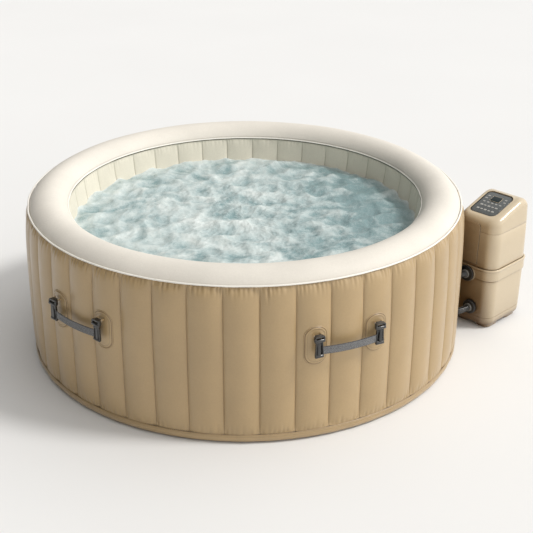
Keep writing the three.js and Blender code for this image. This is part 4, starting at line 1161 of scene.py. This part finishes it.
# Where each fitting is on the unit's face, its radii, how far its nut stands off the face, and its port's Y.
RETURN = {"across": 0.133, "height": 0.2665, "nut": 0.0395, "spigot": 0.026, "pipe": 0.016}
RETURN |= {"back": 0.0084, "port": 0.02}
SUCTION = {"across": 0.103, "height": 0.101, "nut": 0.0345, "spigot": 0.022, "pipe": 0.015}
SUCTION |= {"back": 0.0004, "port": -0.03}
SPIGOT_LENGTH = 0.014
PORT_OUTSIDE = 0.99
PORT_INSIDE = 0.733
HOSE_RADIUS = 0.009
HOSE_OUTLET = (0.13, UNIT_WIDTH + 0.0124, 0.18)
HOSE_STRAIGHT = 0.0236  # how far it runs straight out of the unit
# The hose's way on from there, down through the foot of the wall to the ring of bubble holes.
AIR_ROUTE = [
    (1.01, 0.236, 0.156), (0.975, 0.225, 0.116), (0.9, 0.208, 0.092), (0.8, 0.185, 0.072),
    (0.74, 0.171, 0.066), (0.697, 0.161, 0.062), (0.675, 0.156, 0.052), (0.672, 0.155, 0.0365),
]


def out_of_face(fitting):
    """Turns a piece made along +Z to point out of the face with the pipes, in the unit's frame."""
    place = Matrix.Translation((0, fitting["across"], fitting["height"]))
    return place @ Matrix.Rotation(-math.pi / 2, 4, "Y")


def pipe_path(fitting):
    """A curve that leaves the unit's spigot square and enters the wall's port square."""
    start = np.array(UNIT @ Vector((-SPIGOT_LENGTH, fitting["across"], fitting["height"])))
    end = np.array((PORT_OUTSIDE, fitting["port"], fitting["height"]))
    outward = np.array(UNIT.to_3x3() @ Vector((-1, 0, 0)))
    reach = np.linalg.norm(end - start)
    first = start + outward * reach * 0.45
    second = end + np.array((reach * 0.3, 0, 0))
    t = np.linspace(0, 1, 65)[:, None]
    return (1 - t) ** 3 * start + 3 * (1 - t) ** 2 * t * first + 3 * (1 - t) * t**2 * second + t**3 * end


def add_union_nut(name, fitting):
    nut, back, lip = fitting["nut"], fitting["back"], fitting["pipe"] + 0.002
    front = SPIGOT_LENGTH + 0.005
    line = [(fitting["spigot"], back), (nut - 0.002, back), (nut, back + 0.001), (nut, front - 0.004)]
    line += [(nut - 0.0012, front - 0.0015), (nut - 0.003, front - 0.0004), (nut - 0.007, front)]
    line += [(nut - 0.009, front - 0.0012), (lip + 0.006, front - 0.0012), (lip + 0.004, front + 0.001)]
    line += [(lip, front + 0.001), (lip, back)]
    place = UNIT @ out_of_face(fitting)
    piece = turned(f"{name}_union_nut", line, "black_plastic", place, 144, (24, 0.0022, (2, 3, 4)))
    settle(piece, f"{name}_nut", "black_plastic", f"{name}_nut")


def add_elbow(name, fitting):
    pipe = fitting["pipe"]
    tube = swept("tube", pipe_path(fitting), pipe, "dark_plastic", sides=32, ribs=9, rib_depth=0.0012)
    line = [(pipe - 0.001, 0.0205), (pipe + 0.0042, 0.0205), (pipe + 0.005, 0.0215), (pipe + 0.005, 0.0265)]
    line += [(pipe + 0.0042, 0.0275), (pipe - 0.001, 0.0275)]
    collar = turned("collar", line, "collar_grey", UNIT @ out_of_face(fitting), 48, closed=False)
    settle(joined(f"{name}_elbow", tube, collar), ROOT, "dark_plastic", f"{name}_pipe")


def add_port(name, fitting):
    """The lined hole through the wall, with a flange at each end."""
    depth = PORT_OUTSIDE - PORT_INSIDE
    flange = [(fitting["pipe"] + 0.0005, 0), (0.032, 0), (0.034, 0.0015), (0.034, 0.0045)]
    flange += [(0.0325, 0.0055), (0.02, 0.006)]
    line = flange + [(radius, depth - height) for radius, height in flange[::-1]]
    place = Matrix.Translation((PORT_INSIDE, fitting["port"], fitting["height"]))
    place = place @ Matrix.Rotation(math.pi / 2, 4, "Y")
    port = turned(f"{name}_wall_port", line, "dark_plastic", place)
    settle(port, ROOT, "dark_plastic", f"{name}_port")


def add_fitting(name, fitting):
    add_union_nut(name, fitting)
    add_elbow(name, fitting)
    add_port(name, fitting)


def add_air_hose():
    start = UNIT @ Vector(HOSE_OUTLET)
    second = UNIT @ (Vector(HOSE_OUTLET) + Vector((0, HOSE_STRAIGHT, 0)))
    route = smooth_line([tuple(start), tuple(second), *AIR_ROUTE], 420)
    hose = swept("air_line", route, HOSE_RADIUS, "dark_plastic", sides=16, ribs=70, rib_depth=0.0012)
    settle(hose, ROOT, "dark_plastic", "air_hose")


def on_wall(degrees, height):
    """Turns a piece made along +Z to point out of the tub's wall."""
    place = Matrix.Rotation(math.radians(degrees), 4, "Z") @ Matrix.Translation((WALL_RADIUS, 0, height))
    return place @ Matrix.Rotation(math.pi / 2, 4, "Y")


def add_valve(name, degrees, height, inner_end):
    """A screw valve in the wall, with a finger-gripped cap."""
    place = on_wall(degrees, height)
    seat_line = [(0.012, inner_end), (0.018, inner_end), (0.018, 0.0005), (0.0275, 0.0005), (0.0285, 0.0018)]
    seat_line += [(0.028, 0.0042), (0.0262, 0.005), (0.012, 0.005)]
    seat = turned(f"{name}_seat", seat_line, "dark_plastic", place, 64)
    settle(seat, ROOT, "dark_plastic", f"{name}_valve")
    cap_line = [(0.001, -0.004), (0.0105, -0.004), (0.011, 0.0052), (0.0235, 0.0054), (0.0242, 0.0065)]
    cap_line += [(0.0238, 0.0125), (0.0222, 0.0142), (0.0165, 0.0145), (0.015, 0.013), (0.001, 0.0128)]
    shape = {"columns": 96, "grip": (18, 0.0014, (4, 5)), "closed": False, "capped": True}
    cap = turned(f"{name}_stopper", cap_line, "black_plastic", place, **shape)
    settle(cap, f"{name}_cap", "black_plastic", f"{name}_cap")


def add_gland():
    """The cable gland on the unit's back face: a six-lobed nut and a smooth sleeve."""
    line = [(0.0045, 0.001), (0.0155, 0.001), (0.0162, 0.002), (0.0162, 0.0085), (0.015, 0.0095)]
    line += [(0.0108, 0.01), (0.0104, 0.0185), (0.0095, 0.0198), (0.006, 0.02), (0.0045, 0.019)]
    place = UNIT @ Matrix.Translation((UNIT_LENGTH, 0.112, 0.08)) @ Matrix.Rotation(math.pi / 2, 4, "Y")
    gland = turned("cable_gland", line, "black_plastic", place, grip=(6, 0.0016, (1, 2, 3, 4)))
    settle(gland, ROOT, "black_plastic", "cord_gland")


# ---------- hidden CAD pieces ----------


def dress_frame():
    """Gives each CAD node the procedural finish of its material slot."""
    for part in frame["record"]["subparts"]:
        node = frame["nodes"][part["node"]]
        node.data.materials.clear()
        node.data.materials.append(LOOKS[part["material_slot"]])


# ---------- stage ----------

FLOOR_SIZE = 60
KEY_ENERGY = 1.66
KEY_AZIMUTH = math.radians(84)  # from -Y towards +X
KEY_HEIGHT = math.radians(50)
KEY_SPREAD = math.radians(12)
KEY_COLOUR = (1.0, 0.98, 0.955)
SOFTBOX_SIDE = (0.97, 0.0, 0.24)
SOFTBOX_STRENGTH = 1.5
SOFTBOX_DARK = -0.76  # how far round from the bright side the sky has faded to dark, as a cosine
SOFTBOX_COLOUR = (1.0, 0.99, 0.97)
BACKDROP_COLOUR = (0.93, 0.92, 0.9)


def add_floor():
    half = FLOOR_SIZE / 2
    mesh = bpy.data.meshes.new("floor")
    corners = [(-half, -half, 0), (half, -half, 0), (half, half, 0), (-half, half, 0)]
    mesh.from_pydata(corners, [], [(0, 1, 2, 3)])
    new_object("floor", mesh, "studio_floor")


def add_key_light():
    key = bpy.data.lights.new("key", "SUN")
    key.energy = KEY_ENERGY
    key.angle = KEY_SPREAD
    key.color = KEY_COLOUR
    level = math.cos(KEY_HEIGHT)
    towards = Vector((math.sin(KEY_AZIMUTH) * level, -math.cos(KEY_AZIMUTH) * level, math.sin(KEY_HEIGHT)))
    lamp = bpy.data.objects.new("key", key)
    lamp.rotation_mode = "QUATERNION"
    lamp.rotation_quaternion = towards.to_track_quat("Z", "Y")
    bpy.context.collection.objects.link(lamp)


def add_soft_light():
    """A sky that is bright on one side and fades round to dark on the other, like a large softbox.
    Seen directly it is a plain pale backdrop."""
    world = bpy.data.worlds.new("studio")
    bpy.context.scene.world = world
    world.use_nodes = True
    sky = Nodes(world.node_tree)
    where = sky.node("ShaderNodeTexCoord").outputs["Generated"]
    facing = sky.node("ShaderNodeVectorMath", {0: where, 1: SOFTBOX_SIDE}, operation="DOT_PRODUCT")
    share = sky.remap(facing.outputs["Value"], SOFTBOX_DARK, 1.0)
    softbox = sky.nodes["Background"]
    softbox.inputs["Strength"].default_value = SOFTBOX_STRENGTH
    sky.links.new(sky.ramp(share, [(0.0, (0, 0, 0)), (1.0, SOFTBOX_COLOUR)]), softbox.inputs["Color"])
    backdrop = sky.node("ShaderNodeBackground", {"Color": (*BACKDROP_COLOUR, 1)})
    seen = sky.node("ShaderNodeLightPath").outputs["Is Camera Ray"]
    choice = sky.node("ShaderNodeMixShader", {0: seen, 1: softbox.outputs[0], 2: backdrop.outputs[0]})
    sky.links.new(choice.outputs[0], sky.nodes["World Output"].inputs["Surface"])


def add_stage():
    add_floor()
    add_key_light()
    add_soft_light()
    bpy.context.scene.view_settings.view_transform = "Standard"


dress_frame()
add_wall()
add_liner()
add_ring()
add_bead("rim_welt", *PIPING, PIPING_RADIUS, "rim_piping")
add_bead("mouth_welt", *MOUTH_WELT, MOUTH_WELT_RADIUS)
add_base_band()
add_water()
add_handles()
add_lower_shell()
add_upper_shell()
add_cover()
add_panel()
add_door()
add_grille()
add_fitting("return", RETURN)
add_fitting("suction", SUCTION)
add_air_hose()
add_valve("inflation", 105, 0.3, -0.022)
add_valve("drain", 150, 0.08, -0.233)
add_gland()
add_stage()
